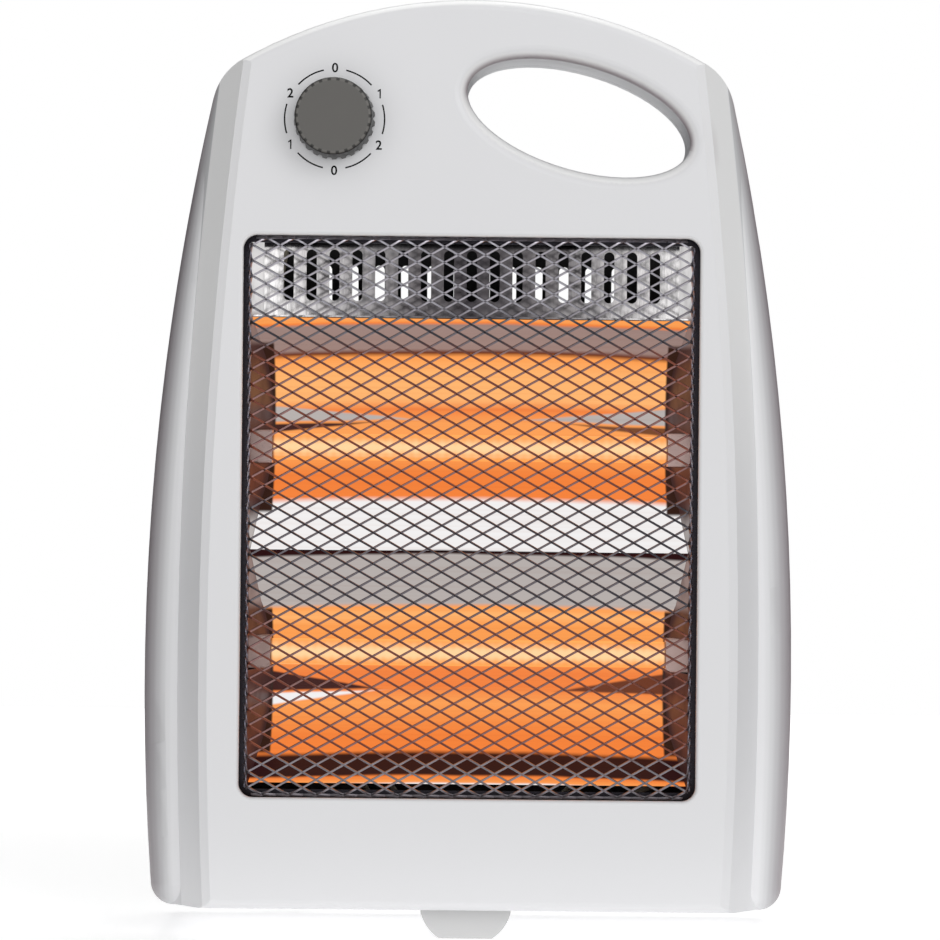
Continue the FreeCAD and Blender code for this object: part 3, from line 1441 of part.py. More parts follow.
def leads():
    """The leads from the terminal block through both safety switches and the dial to the tubes."""
    upper, lower = tube_levels()["upper"], tube_levels()["lower"]
    tube_y = behind(S.tube_setback)
    tab = blade_end()
    tip_y = ahead(S.foot_forward) + S.tip_switch_depth / 2 + S.blade_length
    tip_x, tip_z = S.tip_blade_spread, S.tip_blade_level
    cut_y = behind(trough_back() + S.cutout_flange_gauge + S.cutout_depth + S.blade_length)
    cut_x, cut_z = S.cutout_blade_spread, cutout_level()
    dial_y = ahead(S.front_depth - S.wall - S.switch_depth - S.blade_length)
    dial_x, dial_z = -S.dial_offset, S.dial_level
    block_y = behind(S.rear_depth - S.wall - S.block_depth + S.block_bore_depth)
    pole, block_z = S.block_pole_spread, S.block_level
    live_x, neutral_x = pole - S.block_offset, -pole - S.block_offset
    stub = S.lead_stub
    lead("live_lead", (live_x, block_y, block_z), (live_x, 22, block_z), (-26, 12, 36), (-12, 0, 29),
         (-tip_x, tip_y + stub, tip_z), (-tip_x, tip_y, tip_z))
    lead("cutout_lead", (tip_x, tip_y, tip_z), (tip_x, tip_y + stub, tip_z), (24, 2, 32), (44, 14, 44),
         (48, 22, 80), (44, 28, 140), (26, 32, 172), (cut_x, cut_y + stub, cut_z), (cut_x, cut_y, cut_z))
    spread = S.switch_blade_spread
    lead("dial_lead", (-cut_x, cut_y, cut_z), (-cut_x, cut_y + stub, cut_z), (-34, 26, 187), (-62, 19, 204),
         (-73.5, 8, 224), (-73.5, -2, 244), (-66, -9, 264), (-50, -12, 280),
         (dial_x + spread, dial_y + stub, dial_z), (dial_x + spread, dial_y, dial_z))
    lead("upper_tube_lead", (dial_x - spread, dial_y, dial_z), (dial_x - spread, dial_y + stub, dial_z),
         (-74, -15.5, 288), (-83, -16, 272), (-85, -16, 252), (-96, -16, 236), (-103, -15, 214),
         (-103, -14, 186), (-tab - stub, tube_y, upper), (-tab, tube_y, upper))
    lead("lower_tube_lead", (dial_x, dial_y, dial_z), (dial_x, dial_y + stub, dial_z),
         (-66, -12.5, 286), (-80, -12, 270), (-85, -10, 252), (-95, -8, 232), (-99, -6, 190),
         (-101, -6, 140), (-104, -9, 110), (-tab - stub, tube_y, lower), (-tab, tube_y, lower))
    lead("tube_link", (tab, tube_y, upper), (tab + stub, tube_y, upper), (105, -8, 162), (100, -4, 140),
         (100, -4, 126), (105, -8, 106), (tab + stub, tube_y, lower), (tab, tube_y, lower))
    side = tube_y + S.blade_gauge / 2 + S.lead_radius
    inset = S.tube_span / 2 + S.cap_length + S.blade_length / 2
    lead("neutral_lead", (neutral_x, block_y, block_z), (neutral_x, 24, block_z), (-34, 20, 32),
         (0, 18, 30), (50, 16, 32), (84, 8, 50), (inset, side + S.lead_radius, 78), (inset, side, lower))


def build():
    """Make every piece, in the order in which the heater is put together."""
    front_case()
    rear_case()
    case_screws()
    guard()
    side_plates()
    box_screws()
    reflectors()
    slotted_plate()
    quartz_tubes()
    ceramic_caps()
    cap_terminals()
    filaments()
    rotary_switch()
    knob()
    tip_over_foot()
    tip_over_switch()
    tip_over_spring()
    thermal_cutout()
    terminal_block()
    cable_gland()
    leads()
    doc.recompute()


def check():
    """Stop where an object failed, or where a piece is empty or not valid."""
    for obj in doc.Objects:
        if {"Invalid", "Error"} & set(obj.State):
            raise RuntimeError(f"{obj.Label} failed: {obj.State}")
    for name, obj in NODES.items():
        if obj.Shape.isNull() or not obj.Shape.isValid() or not obj.Shape.Solids:
            raise RuntimeError(f"{name} has no valid solid")


build()
check()
os.makedirs("parts", exist_ok=True)
for piece, finished in NODES.items():
    finished.Shape.exportStep(f"parts/{piece}.step")
    print(f"{piece}: {len(finished.Shape.Solids)} solids, {finished.Shape.Volume:.1f} mm3")
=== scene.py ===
"""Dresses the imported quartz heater: moulded case, lit troughs, expanded metal guard and dial."""
import logging
import math
from dataclasses import dataclass, field
from enum import Enum
from functools import reduce
from typing import Optional, Sequence, Union

import bmesh
import bpy
from mathutils import Matrix, Vector


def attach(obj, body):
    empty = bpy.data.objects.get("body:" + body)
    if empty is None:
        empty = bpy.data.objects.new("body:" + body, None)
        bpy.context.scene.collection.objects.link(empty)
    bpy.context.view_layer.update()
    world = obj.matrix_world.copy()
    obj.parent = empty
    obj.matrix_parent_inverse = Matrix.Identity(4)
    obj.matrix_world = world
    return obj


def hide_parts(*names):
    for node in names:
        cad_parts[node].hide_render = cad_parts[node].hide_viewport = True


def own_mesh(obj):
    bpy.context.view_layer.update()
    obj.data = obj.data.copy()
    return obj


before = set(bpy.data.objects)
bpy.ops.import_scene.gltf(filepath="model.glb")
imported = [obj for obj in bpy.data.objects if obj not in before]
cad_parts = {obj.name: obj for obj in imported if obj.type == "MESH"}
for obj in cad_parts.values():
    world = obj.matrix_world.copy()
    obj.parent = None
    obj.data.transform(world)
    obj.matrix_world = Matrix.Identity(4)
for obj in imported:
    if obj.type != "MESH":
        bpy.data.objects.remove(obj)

LOG = logging.getLogger("quartz_heater")
MM = 0.001
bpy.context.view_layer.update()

BMesh = bmesh.types.BMesh
Material = bpy.types.Material
Socket = bpy.types.NodeSocket
Colour = Cover = Place = Stretch = tuple[float, float, float]
Span = tuple[float, float]
Stop = tuple[float, Colour]
Feed = Union[float, int, Sequence[float], Socket]

# Octaves of a noise, for plain grain, scuffs, mottling and wear
GRAIN, SCUFF, MOTTLE, WEAR = 2.0, 3.0, 4.0, 5.0
# Parts of a noise's range that a tone or a roughness is read from
MIDDLE: Span = (0.3, 0.7)
BROAD: Span = (0.2, 0.8)
FULL_WHITE: Colour = (1.0, 1.0, 1.0)


class Body(str, Enum):
    """The rigid body that the new pieces ride on."""

    HEATER = "heater"


class Slot(str, Enum):
    """Names of three material slots."""

    GUARD = "guard_steel"
    ZINC = "zinc_steel"
    DARK = "dark_plastic"


def linear(red: int, green: int, blue: int) -> Colour:
    """Return an 8-bit display colour as a linear one."""
    shares = (channel / 255 for channel in (red, green, blue))
    return tuple(c / 12.92 if c <= 0.04045 else ((c + 0.055) / 1.055) ** 2.4 for c in shares)


def scaled(colour: Colour, factor: float) -> Colour:
    """Return a colour made lighter or darker by a factor, no lighter than white."""
    return tuple(min(1.0, channel * factor) for channel in colour)


class NodeKit:
    """A node tree, with short calls for the nodes that the finishes share."""

    def __init__(self, owner: Union[Material, bpy.types.World]) -> None:
        """Start on a material's or a world's own nodes.

        Args:
            owner: The material or world.
        """
        owner.use_nodes = True
        self.owner = owner
        self.tree = owner.node_tree

    @classmethod
    def named(cls, name: str) -> "NodeKit":
        """Return a kit on a new material around a principled shader."""
        return cls(bpy.data.materials.new(name))

    def add(self, kind: str, feeds: Optional[dict[Union[str, int], Feed]] = None, **settings) -> bpy.types.Node:
        """Add a node, set its options and feed its inputs.

        Args:
            kind: Blender's type name of the node.
            feeds: Values or sockets by input name or number.
            **settings: Options of the node itself.

        Returns:
            The new node.
        """
        node = self.tree.nodes.new(kind)
        for option, value in settings.items():
            setattr(node, option, value)
        for key, value in (feeds or {}).items():
            self.feed(node.inputs[key], value)
        return node

    def feed(self, socket: Socket, value: Feed) -> None:
        """Link a socket to an input, or set the input's own value.

        Args:
            socket: The input.
            value: A socket to link, or a plain value.
        """
        if isinstance(value, Socket):
            self.tree.links.new(value, socket)
        elif isinstance(value, (int, float)):
            socket.default_value = value
        else:
            missing = len(socket.default_value) - len(value)
            socket.default_value = (*value, *([1.0] * missing))

    def place(self) -> Socket:
        """Return the point's place in the heater's own frame, in metres."""
        return self.add("ShaderNodeTexCoord").outputs["Object"]

    def axes(self) -> tuple[Socket, ...]:
        """Return the x, y and z of the point's place."""
        return tuple(self.add("ShaderNodeSeparateXYZ", {0: self.place()}).outputs)

    def facing(self) -> tuple[Socket, ...]:
        """Return the x, y and z of the way the surface faces in the heater's own frame."""
        way = self.add("ShaderNodeTexCoord").outputs["Normal"]
        return tuple(self.add("ShaderNodeSeparateXYZ", {0: way}).outputs)

    def stretched(self, x: float, y: float, z: float) -> Socket:
        """Return the point's place with each axis scaled."""
        return self.add("ShaderNodeMapping", {"Vector": self.place(), "Scale": (x, y, z)}).outputs[0]

    def noise(self, scale: float, detail: float = SCUFF, where: Optional[Socket] = None) -> Socket:
        """Return a noise from 0 to 1, by its cells per metre, octaves and place to read."""
        feeds = {"Vector": where or self.place(), "Scale": scale, "Detail": detail}
        return self.add("ShaderNodeTexNoise", feeds).outputs[0]

    def maths(self, operation: str, *values: Feed) -> Socket:
        """Return the result of one of Blender's sums on one, two or three values."""
        return self.add("ShaderNodeMath", dict(enumerate(values)), operation=operation).outputs[0]

    def product(self, *values: Feed) -> Socket:
        """Return values multiplied together."""
        return reduce(lambda first, second: self.maths("MULTIPLY", first, second), values)

    def shaken(self, value: Feed, noise: Socket, most: float) -> Socket:
        """Return a value moved either way by a noise."""
        return self.maths("MULTIPLY_ADD", self.maths("SUBTRACT", noise, 0.5), most, value)

    def apart(self, value: Feed, mark: Feed) -> Socket:
        """Return how far a value lies from a mark, either way."""
        return self.maths("ABSOLUTE", self.maths("SUBTRACT", value, mark))

    def share(self, value: Feed, low: float, high: float, most: float = 1.0) -> Socket:
        """Return how far a value has come between two limits, evenly from 0 to its most."""
        feeds = {"Value": value, "From Min": low, "From Max": high, "To Max": most}
        return self.add("ShaderNodeMapRange", feeds).outputs[0]

    def spread(self, value: Feed, low: float, high: float, to_low: float = 0.0, to_high: float = 1.0) -> Socket:
        """Return a value mapped smoothly from one range to another and kept inside it."""
        feeds = {"Value": value, "From Min": low, "From Max": high, "To Min": to_low, "To Max": to_high}
        return self.add("ShaderNodeMapRange", feeds, interpolation_type="SMOOTHSTEP").outputs[0]

    def cover(self, value: Socket, low: float, high: float, most: float) -> Socket:
        """Return how much of a colour lies over another, smoothly from none to its most."""
        return self.spread(value, low, high, 0.0, most)

    def ramp(self, value: Feed, stops: Sequence[Stop], mode: str = "LINEAR") -> Socket:
        """Return a colour read from stops along a value.

        Args:
            value: Value from 0 to 1.
            stops: Places and linear colours, in rising order.
            mode: Blender's interpolation between the stops.

        Returns:
            The colour's socket.
        """
        node = self.add("ShaderNodeValToRGB", {0: value})
        node.color_ramp.interpolation = mode
        elements = node.color_ramp.elements
        while len(elements) < len(stops):
            elements.new(1.0)
        for element, (position, colour) in zip(elements, stops):
            element.position = position
            element.color = (*colour, 1.0)
        return node.outputs[0]

    def mix(self, share: Feed, first: Feed, second: Feed, mode: str = "MIX") -> Socket:
        """Return two colours mixed.

        Args:
            share: Share of the second colour.
            first: First colour.
            second: Second colour.
            mode: Blender's mixing mode.

        Returns:
            The mixed colour's socket.
        """
        node = self.add("ShaderNodeMix", data_type="RGBA", blend_type=mode)
        for index, value in ((0, share), (6, first), (7, second)):
            self.feed(node.inputs[index], value)
        return node.outputs[2]

    def bump(self, height: Socket, depth: float, strength: float) -> Socket:
        """Return a normal bent by a height from 0 to 1, by its depth in metres and strength."""
        feeds = {"Height": height, "Distance": depth, "Strength": strength}
        return self.add("ShaderNodeBump", feeds).outputs[0]

    def worn(self, noise: Socket, roughness: Span, relief: Span) -> dict[str, Socket]:
        """Return a roughness and a normal that follow one noise."""
        return {"Roughness": self.spread(noise, *BROAD, *roughness), "Normal": self.bump(noise, *relief)}

    def surface(self, **feeds: Feed) -> Material:
        """Feed the principled shader and return the material.

        Args:
            **feeds: Values or sockets by input name, with _ for a space.

        Returns:
            The finished material.
        """
        shader = self.tree.nodes["Principled BSDF"]
        for name, value in feeds.items():
            self.feed(shader.inputs[name.replace("_", " ")], value)
        return self.owner


@dataclass(frozen=True)
class MouldedPlastic:
    """A moulded plastic with a fine grain, soft clouding and a worn shine."""

    name: str
    colour: Colour
    roughness: float = 0.36
    grain: float = 2600.0
    relief: Span = (0.05 * MM, 0.22)
    clouds: float = 9.0
    clouding: float = 0.035
    wear: float = 60.0
    polish: float = 0.04
    dulling: float = 0.05

    def build(self) -> Material:
        """Return the material."""
        kit = NodeKit.named(self.name)
        light, dark = scaled(self.colour, 1 + self.clouding), scaled(self.colour, 1 - self.clouding)
        colour = kit.mix(kit.noise(self.clouds, MOTTLE), dark, light)
        limits = (self.roughness - self.polish, self.roughness + self.dulling)
        rough = kit.spread(kit.noise(self.wear, WEAR), *MIDDLE, *limits)
        normal = kit.bump(kit.noise(self.grain, GRAIN), *self.relief)
        return kit.surface(Base_Color=colour, Roughness=rough, Normal=normal, Specular_IOR_Level=0.45)


@dataclass(frozen=True)
class Hollow:
    """A tilted oval hole whose wall takes little light except on its upward side."""

    x: float
    z: float
    major: float
    minor: float
    tilt: float
    reach: float = 1.35
    lip: Span = (-45.0 * MM, -43.0 * MM)
    turned: Span = (-0.98, -0.35)
    downward: Span = (0.6, -0.1)
    shade: Colour = (0.40, 0.34, 0.36)

    def shading(self, kit: NodeKit, colour: Socket) -> Socket:
        """Return a colour darkened on the hole's wall.

        Args:
            kit: The material in progress.
            colour: The colour without the hole.

        Returns:
            The shaded colour's socket.
        """
        x, y, z = kit.axes()
        _, out, up = kit.facing()
        sine, cosine = math.sin(math.radians(self.tilt)), math.cos(math.radians(self.tilt))
        over, rise = kit.maths("SUBTRACT", x, self.x), kit.maths("SUBTRACT", z, self.z)
        along = kit.maths("MULTIPLY_ADD", over, cosine, kit.product(rise, -sine))
        across = kit.maths("MULTIPLY_ADD", over, sine, kit.product(rise, cosine))
        shares = [kit.maths("DIVIDE", way, half) for way, half in ((along, self.major), (across, self.minor))]
        span = kit.maths("ADD", *(kit.product(share, share) for share in shares))
        near = kit.spread(span, 1.0, self.reach ** 2, 1.0, 0.0)
        ahead = kit.spread(y, *self.lip, 1.0, 0.0)
        share = kit.product(near, ahead, kit.spread(out, *self.turned), kit.spread(up, *self.downward))
        return kit.mix(share, colour, self.shade, "MULTIPLY")


@dataclass(frozen=True)
class RolledSide:
    """Painted shade on the long sides' rolled edges, darker the further they turn away and darker on the left."""

    side_radius: float
    half_width: float
    waist: float
    middle: float = 105.0 * MM
    widest: float = 11.3 * MM
    narrowing: float = 0.1975
    front: Span = (-36.3 * MM, -35.9 * MM)
    back: Span = (-25.0 * MM, -21.0 * MM)
    soft: float = 2.0 * MM
    left_shade: float = 0.86
    # Tones of the painted shade, from the outline inwards
    tones: Sequence[Stop] = (
        (0.0, (0.50, 0.44, 0.46)), (0.15, (0.54, 0.50, 0.515)), (0.30, (0.60, 0.575, 0.585)),
        (0.50, (0.71, 0.70, 0.705)), (0.70, (0.83, 0.83, 0.83)), (0.85, (0.92, 0.92, 0.92)), (1.0, FULL_WHITE),
    )

    def shading(self, kit: NodeKit, colour: Socket) -> Socket:
        """Return a colour with painted shade along the rolled sides.

        Args:
            kit: The material in progress.
            colour: The colour without the roll.

        Returns:
            The shaded colour's socket.
        """
        x, y, z = kit.axes()
        out = kit.maths("ADD", kit.maths("ABSOLUTE", x), self.side_radius - self.half_width)
        rise = kit.maths("SUBTRACT", z, self.waist)
        reach = kit.maths("SQRT", kit.maths("ADD", kit.product(out, out), kit.product(rise, rise)))
        inside = kit.maths("SUBTRACT", self.side_radius, reach)
        off = kit.maths("SUBTRACT", z, self.middle)
        width = kit.maths("MULTIPLY_ADD", kit.product(off, off), -self.narrowing, self.widest)
        share = kit.maths("DIVIDE", inside, kit.maths("MAXIMUM", width, self.soft))
        # Painted shade: the left side is darker than the right
        dim = kit.spread(x, -self.soft, self.soft, self.left_shade, 1.0)
        tone = kit.mix(1.0, kit.ramp(share, self.tones, "EASE"), dim, "MULTIPLY")
        zone = kit.product(kit.spread(y, *self.front), kit.spread(y, *self.back, 1.0, 0.0))
        return kit.mix(zone, colour, tone, "MULTIPLY")


@dataclass(frozen=True)
class CasePlastic:
    """The case's pale moulded plastic, with a seam where its two shells meet, painted light on the step's slopes, and
    painted shade in the carry hole, along the rolled sides and on the inside.
    """

    name: str
    colour: Colour
    seam_y: float
    hole: Hollow
    roll: RolledSide
    seam: Span = (0.11 * MM, 0.352 * MM)
    seam_tone: float = 0.32
    seam_depth: float = 6.0
    clouds: float = 7.0
    cloud_tones: Span = (0.975, 1.02)
    flow: float = 3.0
    flow_stretch: float = 0.25
    flow_cover: Cover = (0.35, 0.75, 0.10)
    flow_tone: float = 0.93
    step_heights: Span = (110.0 * MM, 250.0 * MM)
    step_foot: Span = (-36.4 * MM, -36.1 * MM)
    step_slopes: tuple[Span, Span] = ((-0.95, -0.80), (-0.45, -0.30))
    step_light_colour: Colour = (0.93, 0.93, 0.93)
    inner_depths: Span = (-12.0 * MM, -8.0 * MM)
    inner_slopes: Span = (-0.35, -0.15)
    inside_shade_colour: Colour = (0.012, 0.012, 0.013)
    wear: float = 45.0
    roughness: Span = (0.33, 0.42)
    grain: float = 2400.0
    relief: Span = (0.05 * MM, 0.25)

    def build(self) -> Material:
        """Return the material."""
        kit = NodeKit.named(self.name)
        _, y, z = kit.axes()
        out = kit.facing()[1]
        base = kit.mix(kit.noise(self.clouds, MOTTLE), *(scaled(self.colour, tone) for tone in self.cloud_tones))
        flow = kit.noise(self.flow, GRAIN, kit.stretched(1.0, 1.0, self.flow_stretch))
        streaks = kit.cover(flow, *self.flow_cover)
        base = kit.mix(streaks, base, scaled(self.colour, self.flow_tone))
        seam = kit.spread(kit.apart(y, self.seam_y), *self.seam, 1.0, 0.0)
        base = kit.mix(seam, base, scaled(self.colour, self.seam_tone))
        # Painted light: the step's slopes are lightened between two heights, in front of the step's foot
        steep, steepest = self.step_slopes
        sloped = kit.product(kit.spread(out, *steep), kit.spread(out, *steepest, 1.0, 0.0))
        lift = kit.product(sloped, kit.spread(z, *self.step_heights), kit.spread(y, *self.step_foot, 1.0, 0.0))
        base = kit.mix(lift, base, self.step_light_colour)
        # Painted shade in the carry hole and along the rolled sides
        base = self.roll.shading(kit, self.hole.shading(kit, base))
        # Painted shade: front-facing surfaces behind the front of the case go near black
        unlit_inside = kit.product(kit.spread(out, *self.inner_slopes, 1.0, 0.0), kit.spread(y, *self.inner_depths))
        base = kit.mix(unlit_inside, base, self.inside_shade_colour)
        rough = kit.spread(kit.noise(self.wear, WEAR), *MIDDLE, *self.roughness)
        height = kit.maths("MULTIPLY_ADD", seam, -self.seam_depth, kit.noise(self.grain, GRAIN))
        normal = kit.bump(height, *self.relief)
        return kit.surface(Base_Color=base, Roughness=rough, Normal=normal, Specular_IOR_Level=0.45)


@dataclass(frozen=True)
class KnobPlastic:
    """The knob's grey plastic, with painted highlights on the ribs and painted shade in the flutes round its rim, and
    painted shade on its fluted side.
    """

    name: str
    colour: Colour
    x: float
    z: float
    flutes: int = 26
    rim: Span = (12.9 * MM, 13.3 * MM)
    flute: Span = (14.5 * MM, 15.1 * MM)
    rim_wave: Span = (-0.1, 0.8)
    rim_light_and_shade: Span = (1.25, 0.30)
    side_slopes: Span = (-0.92, -0.5)
    side_shade_tones: Span = (0.10, 0.55)
    clouds: float = 90.0
    cloud_tones: Span = (0.90, 1.08)
    roughness: Span = (0.38, 0.48)
    grain: float = 2200.0
    relief: Span = (0.05 * MM, 0.22)

    def build(self) -> Material:
        """Return the material."""
        kit = NodeKit.named(self.name)
        x, _, z = kit.axes()
        over, rise = kit.maths("SUBTRACT", x, self.x), kit.maths("SUBTRACT", z, self.z)
        radius = kit.maths("SQRT", kit.maths("ADD", kit.product(over, over), kit.product(rise, rise)))
        rim, side, face = ([scaled(self.colour, tone) for tone in tones]
                           for tones in (self.rim_light_and_shade, self.side_shade_tones, self.cloud_tones))
        cloud = kit.noise(self.clouds, MOTTLE)
        colour = kit.mix(cloud, *face)
        # Painted highlight on the ribs and painted shade in the flutes round the rim
        wave = kit.maths("COSINE", kit.product(kit.maths("ARCTAN2", rise, over), float(self.flutes)))
        painted_flutes = kit.mix(kit.spread(wave, *self.rim_wave), *rim)
        colour = kit.mix(kit.spread(radius, *self.rim), colour, painted_flutes)
        # Painted shade on the knob's side
        flank_shade = kit.mix(kit.spread(radius, *self.flute), *side)
        colour = kit.mix(kit.spread(kit.facing()[1], *self.side_slopes), colour, flank_shade)
        normal = kit.bump(kit.noise(self.grain, GRAIN), *self.relief)
        rough = kit.spread(cloud, *MIDDLE, *self.roughness)
        return kit.surface(Base_Color=colour, Roughness=rough, Normal=normal, Specular_IOR_Level=0.4)


@dataclass(frozen=True)
class SheetMetal:
    """A bare or polished sheet with a drawn grain, smudges and a heat tint."""

    name: str
    colour: Colour
    tint: Colour
    roughness: float = 0.25
    roughness_tones: Span = (0.75, 1.35)
    smudges: float = 28.0
    smudge_cover: Cover = (0.42, 0.78, 0.25)
    grain: Stretch = (12.0, 700.0, 700.0)
    grain_cover: Cover = (0.3, 0.8, 0.16)
    grain_tone: float = 0.72
    relief: Span = (0.02 * MM, 0.25)

    def build(self) -> Material:
        """Return the material."""
        kit = NodeKit.named(self.name)
        streak = kit.noise(1.0, MOTTLE, kit.stretched(*self.grain))
        smudge = kit.cover(kit.noise(self.smudges, WEAR), *self.smudge_cover)
        drawn = kit.cover(streak, *self.grain_cover)
        colour = kit.mix(drawn, kit.mix(smudge, self.colour, self.tint), scaled(self.colour, self.grain_tone))
        rough = kit.spread(streak, *BROAD, *(self.roughness * tone for tone in self.roughness_tones))
        normal = kit.bump(streak, *self.relief)
        return kit.surface(Base_Color=colour, Metallic=1.0, Roughness=rough, Normal=normal)


@dataclass(frozen=True)
class GuardWire:
    """The guard's bare strands, with painted light by height after what lies behind them, warm over the glow and pale
    before the plate above it, and painted highlights on their folds and on strands that face one way.
    """

    name: str
    low: float
    high: float
    painted_light_tones: Sequence[Stop]
    fold_x: float
    fold_soft: float = 0.5 * MM
    fold_light: Colour = linear(206, 205, 212)
    glint_cover: Cover = (-0.06, 0.06, 0.24)
    glint: Colour = linear(196, 186, 194)
    scuffs: float = 300.0
    scuff_cover: Cover = (0.45, 0.75, 0.30)
    scuff_colour: Colour = (0.10, 0.09, 0.09)
    roughness: Span = (0.26, 0.42)
    relief: Span = (0.02 * MM, 0.25)

    def build(self) -> Material:
        """Return the material."""
        kit = NodeKit.named(self.name)
        x, _, z = kit.axes()
        # Painted light: strand tones by height
        colour = kit.ramp(kit.share(z, self.low, self.high), self.painted_light_tones)
        scuff = kit.noise(self.scuffs)
        colour = kit.mix(kit.cover(scuff, *self.scuff_cover), colour, self.scuff_colour)
        # Painted highlight on the strands that face one way
        glinting = kit.cover(kit.facing()[0], *self.glint_cover)
        colour = kit.mix(glinting, colour, self.glint)
        # Painted highlight on the folded edges
        fold = kit.spread(kit.maths("ABSOLUTE", x), self.fold_x - self.fold_soft, self.fold_x + self.fold_soft)
        colour = kit.mix(fold, colour, self.fold_light)
        return kit.surface(Base_Color=colour, Metallic=1.0, **kit.worn(scuff, self.roughness, self.relief))


@dataclass(frozen=True)
class MirrorPlate:
    """A mirror-bright plate with a painted reflection, light towards its ends and dark in the middle."""

    name: str
    half: float
    painted_light_tones: Sequence[Stop]
    smear: Stretch = (60.0, 60.0, 22.0)
    smear_share: float = 0.5
    grain: Stretch = (900.0, 300.0, 120.0)
    grain_cover: Cover = (0.35, 0.75, 0.4)
    grain_colour: Colour = (0.05, 0.05, 0.055)
    roughness: Span = (0.07, 0.16)
    relief: Span = (0.10 * MM, 0.3)

    def build(self) -> Material:
        """Return the material."""
        kit = NodeKit.named(self.name)
        reach = kit.maths("DIVIDE", kit.maths("ABSOLUTE", kit.axes()[0]), self.half)
        smear = kit.noise(1.0, MOTTLE, kit.stretched(*self.smear))
        shaken = kit.shaken(reach, smear, self.smear_share)
        grain = kit.cover(kit.noise(1.0, MOTTLE, kit.stretched(*self.grain)), *self.grain_cover)
        # Painted reflection: tones along the plate's width
        colour = kit.mix(grain, kit.ramp(shaken, self.painted_light_tones), self.grain_colour)
        return kit.surface(Base_Color=colour, Metallic=1.0, **kit.worn(smear, self.roughness, self.relief))


@dataclass(frozen=True)
class Wedge:
    """A patch of a trough's painted reflection that thins out from both ends, with its right end's share."""

    level: float
    half: float
    start: float
    colour: Colour
    right: float = 1.0
    skew: float = 0.0


@dataclass(frozen=True)
class LitTrough:
    """A polished trough with a painted reflection of its glowing tube in bands along its height, given off as painted
    glow.
    """

    name: str
    low: float
    high: float
    bands: Sequence[Stop]
    wedges: Sequence[Wedge]
    shaded: Span
    shade: Colour = (0.03, 0.012, 0.008)
    half: float = 76.0 * MM
    end: float = 75.2 * MM
    bow: float = 1.6 * MM
    soft: float = 0.9 * MM
    ripple: float = 1.6 * MM
    ripples: Stretch = (26.0, 0.0, 70.0)
    turnover: float = 0.3
    wedge_edge: float = -0.2
    grain: Stretch = (9.0, 500.0, 900.0)
    grain_cover: Cover = (0.40, 0.75, 0.12)
    grain_tint: Colour = (0.55, 0.30, 0.20)
    back_slopes: Span = (-0.02, 0.10)
    back_unlit_colour: Colour = (0.004, 0.004, 0.004)
    metal: tuple[Colour, Colour] = ((0.010, 0.010, 0.010), (0.024, 0.023, 0.022))
    roughness: Span = (0.20, 0.34)
    relief: Span = (0.02 * MM, 0.25)

    def build(self) -> Material:
        """Return the material."""
        kit = NodeKit.named(self.name)
        x, _, z = kit.axes()
        width = kit.maths("ABSOLUTE", x)
        reach = kit.maths("DIVIDE", width, self.half)
        arched = kit.maths("MULTIPLY_ADD", kit.product(reach, reach), self.bow, z)
        wave = kit.noise(1.0, SCUFF, kit.stretched(*self.ripples))
        wavy = kit.shaken(arched, wave, self.ripple)
        # Painted reflection of the tube in bands by height, given off as painted glow
        lit = kit.ramp(kit.share(wavy, self.low, self.high), self.bands)
        side = kit.spread(x, -self.turnover * self.half, self.turnover * self.half)
        for wedge in self.wedges:
            tall = kit.share(reach, wedge.start, 1.0, wedge.half)
            off = kit.apart(wavy, kit.maths("MULTIPLY_ADD", tall, wedge.skew, wedge.level))
            inside = kit.spread(kit.maths("SUBTRACT", tall, off), self.wedge_edge * self.soft, self.soft)
            share = kit.maths("MULTIPLY_ADD", side, wedge.right - 1.0, 1.0)
            lit = kit.mix(kit.product(inside, share), lit, wedge.colour)
        grain = kit.noise(1.0, MOTTLE, kit.stretched(*self.grain))
        drawn = kit.cover(grain, *self.grain_cover)
        lit = kit.mix(drawn, lit, self.grain_tint, "MULTIPLY")
        # Painted shade at the trough's ends
        at_end = kit.spread(width, self.end - self.soft / 2, self.end + self.soft / 2)
        low, high = self.shaded
        above = kit.spread(z, low - self.soft, low + self.soft)
        under = kit.spread(z, high - self.soft, high + self.soft, 1.0, 0.0)
        lit = kit.mix(kit.product(at_end, above, under), lit, self.shade)
        # No painted glow on faces turned towards the back
        lit = kit.mix(kit.spread(kit.facing()[1], *self.back_slopes), lit, self.back_unlit_colour)
        return kit.surface(
            Base_Color=kit.mix(grain, *self.metal), Metallic=1.0, Emission_Color=lit, Emission_Strength=1.0,
            **kit.worn(grain, self.roughness, self.relief),
        )


@dataclass(frozen=True)
class BandedPlate:
    """A heat-tinted plate beside the troughs, with a painted reflection of their wings in bands, given off as painted
    glow.
    """

    name: str
    low: float
    high: float
    bands: Sequence[Stop]
    glow: float = 0.64
    smears: float = 60.0
    waver: float = 2.0 * MM
    soot_cover: Cover = (0.45, 0.75, 0.35)
    soot: Colour = (0.03, 0.015, 0.012)
    dulling: float = 0.75
    roughness: Span = (0.35, 0.55)
    relief: Span = (0.05 * MM, 0.2)

    def build(self) -> Material:
        """Return the material."""
        kit = NodeKit.named(self.name)
        smear = kit.noise(self.smears, MOTTLE)
        wavy = kit.shaken(kit.axes()[2], smear, self.waver)
        # Painted reflection of the wings in bands by height, also given off as painted glow
        colour = kit.ramp(kit.share(wavy, self.low, self.high), self.bands)
        colour = kit.mix(kit.cover(smear, *self.soot_cover), colour, self.soot)
        return kit.surface(
            Base_Color=kit.mix(self.dulling, colour, (0.0, 0.0, 0.0)), Metallic=1.0, Emission_Color=colour,
            Emission_Strength=self.glow, **kit.worn(smear, self.roughness, self.relief),
        )


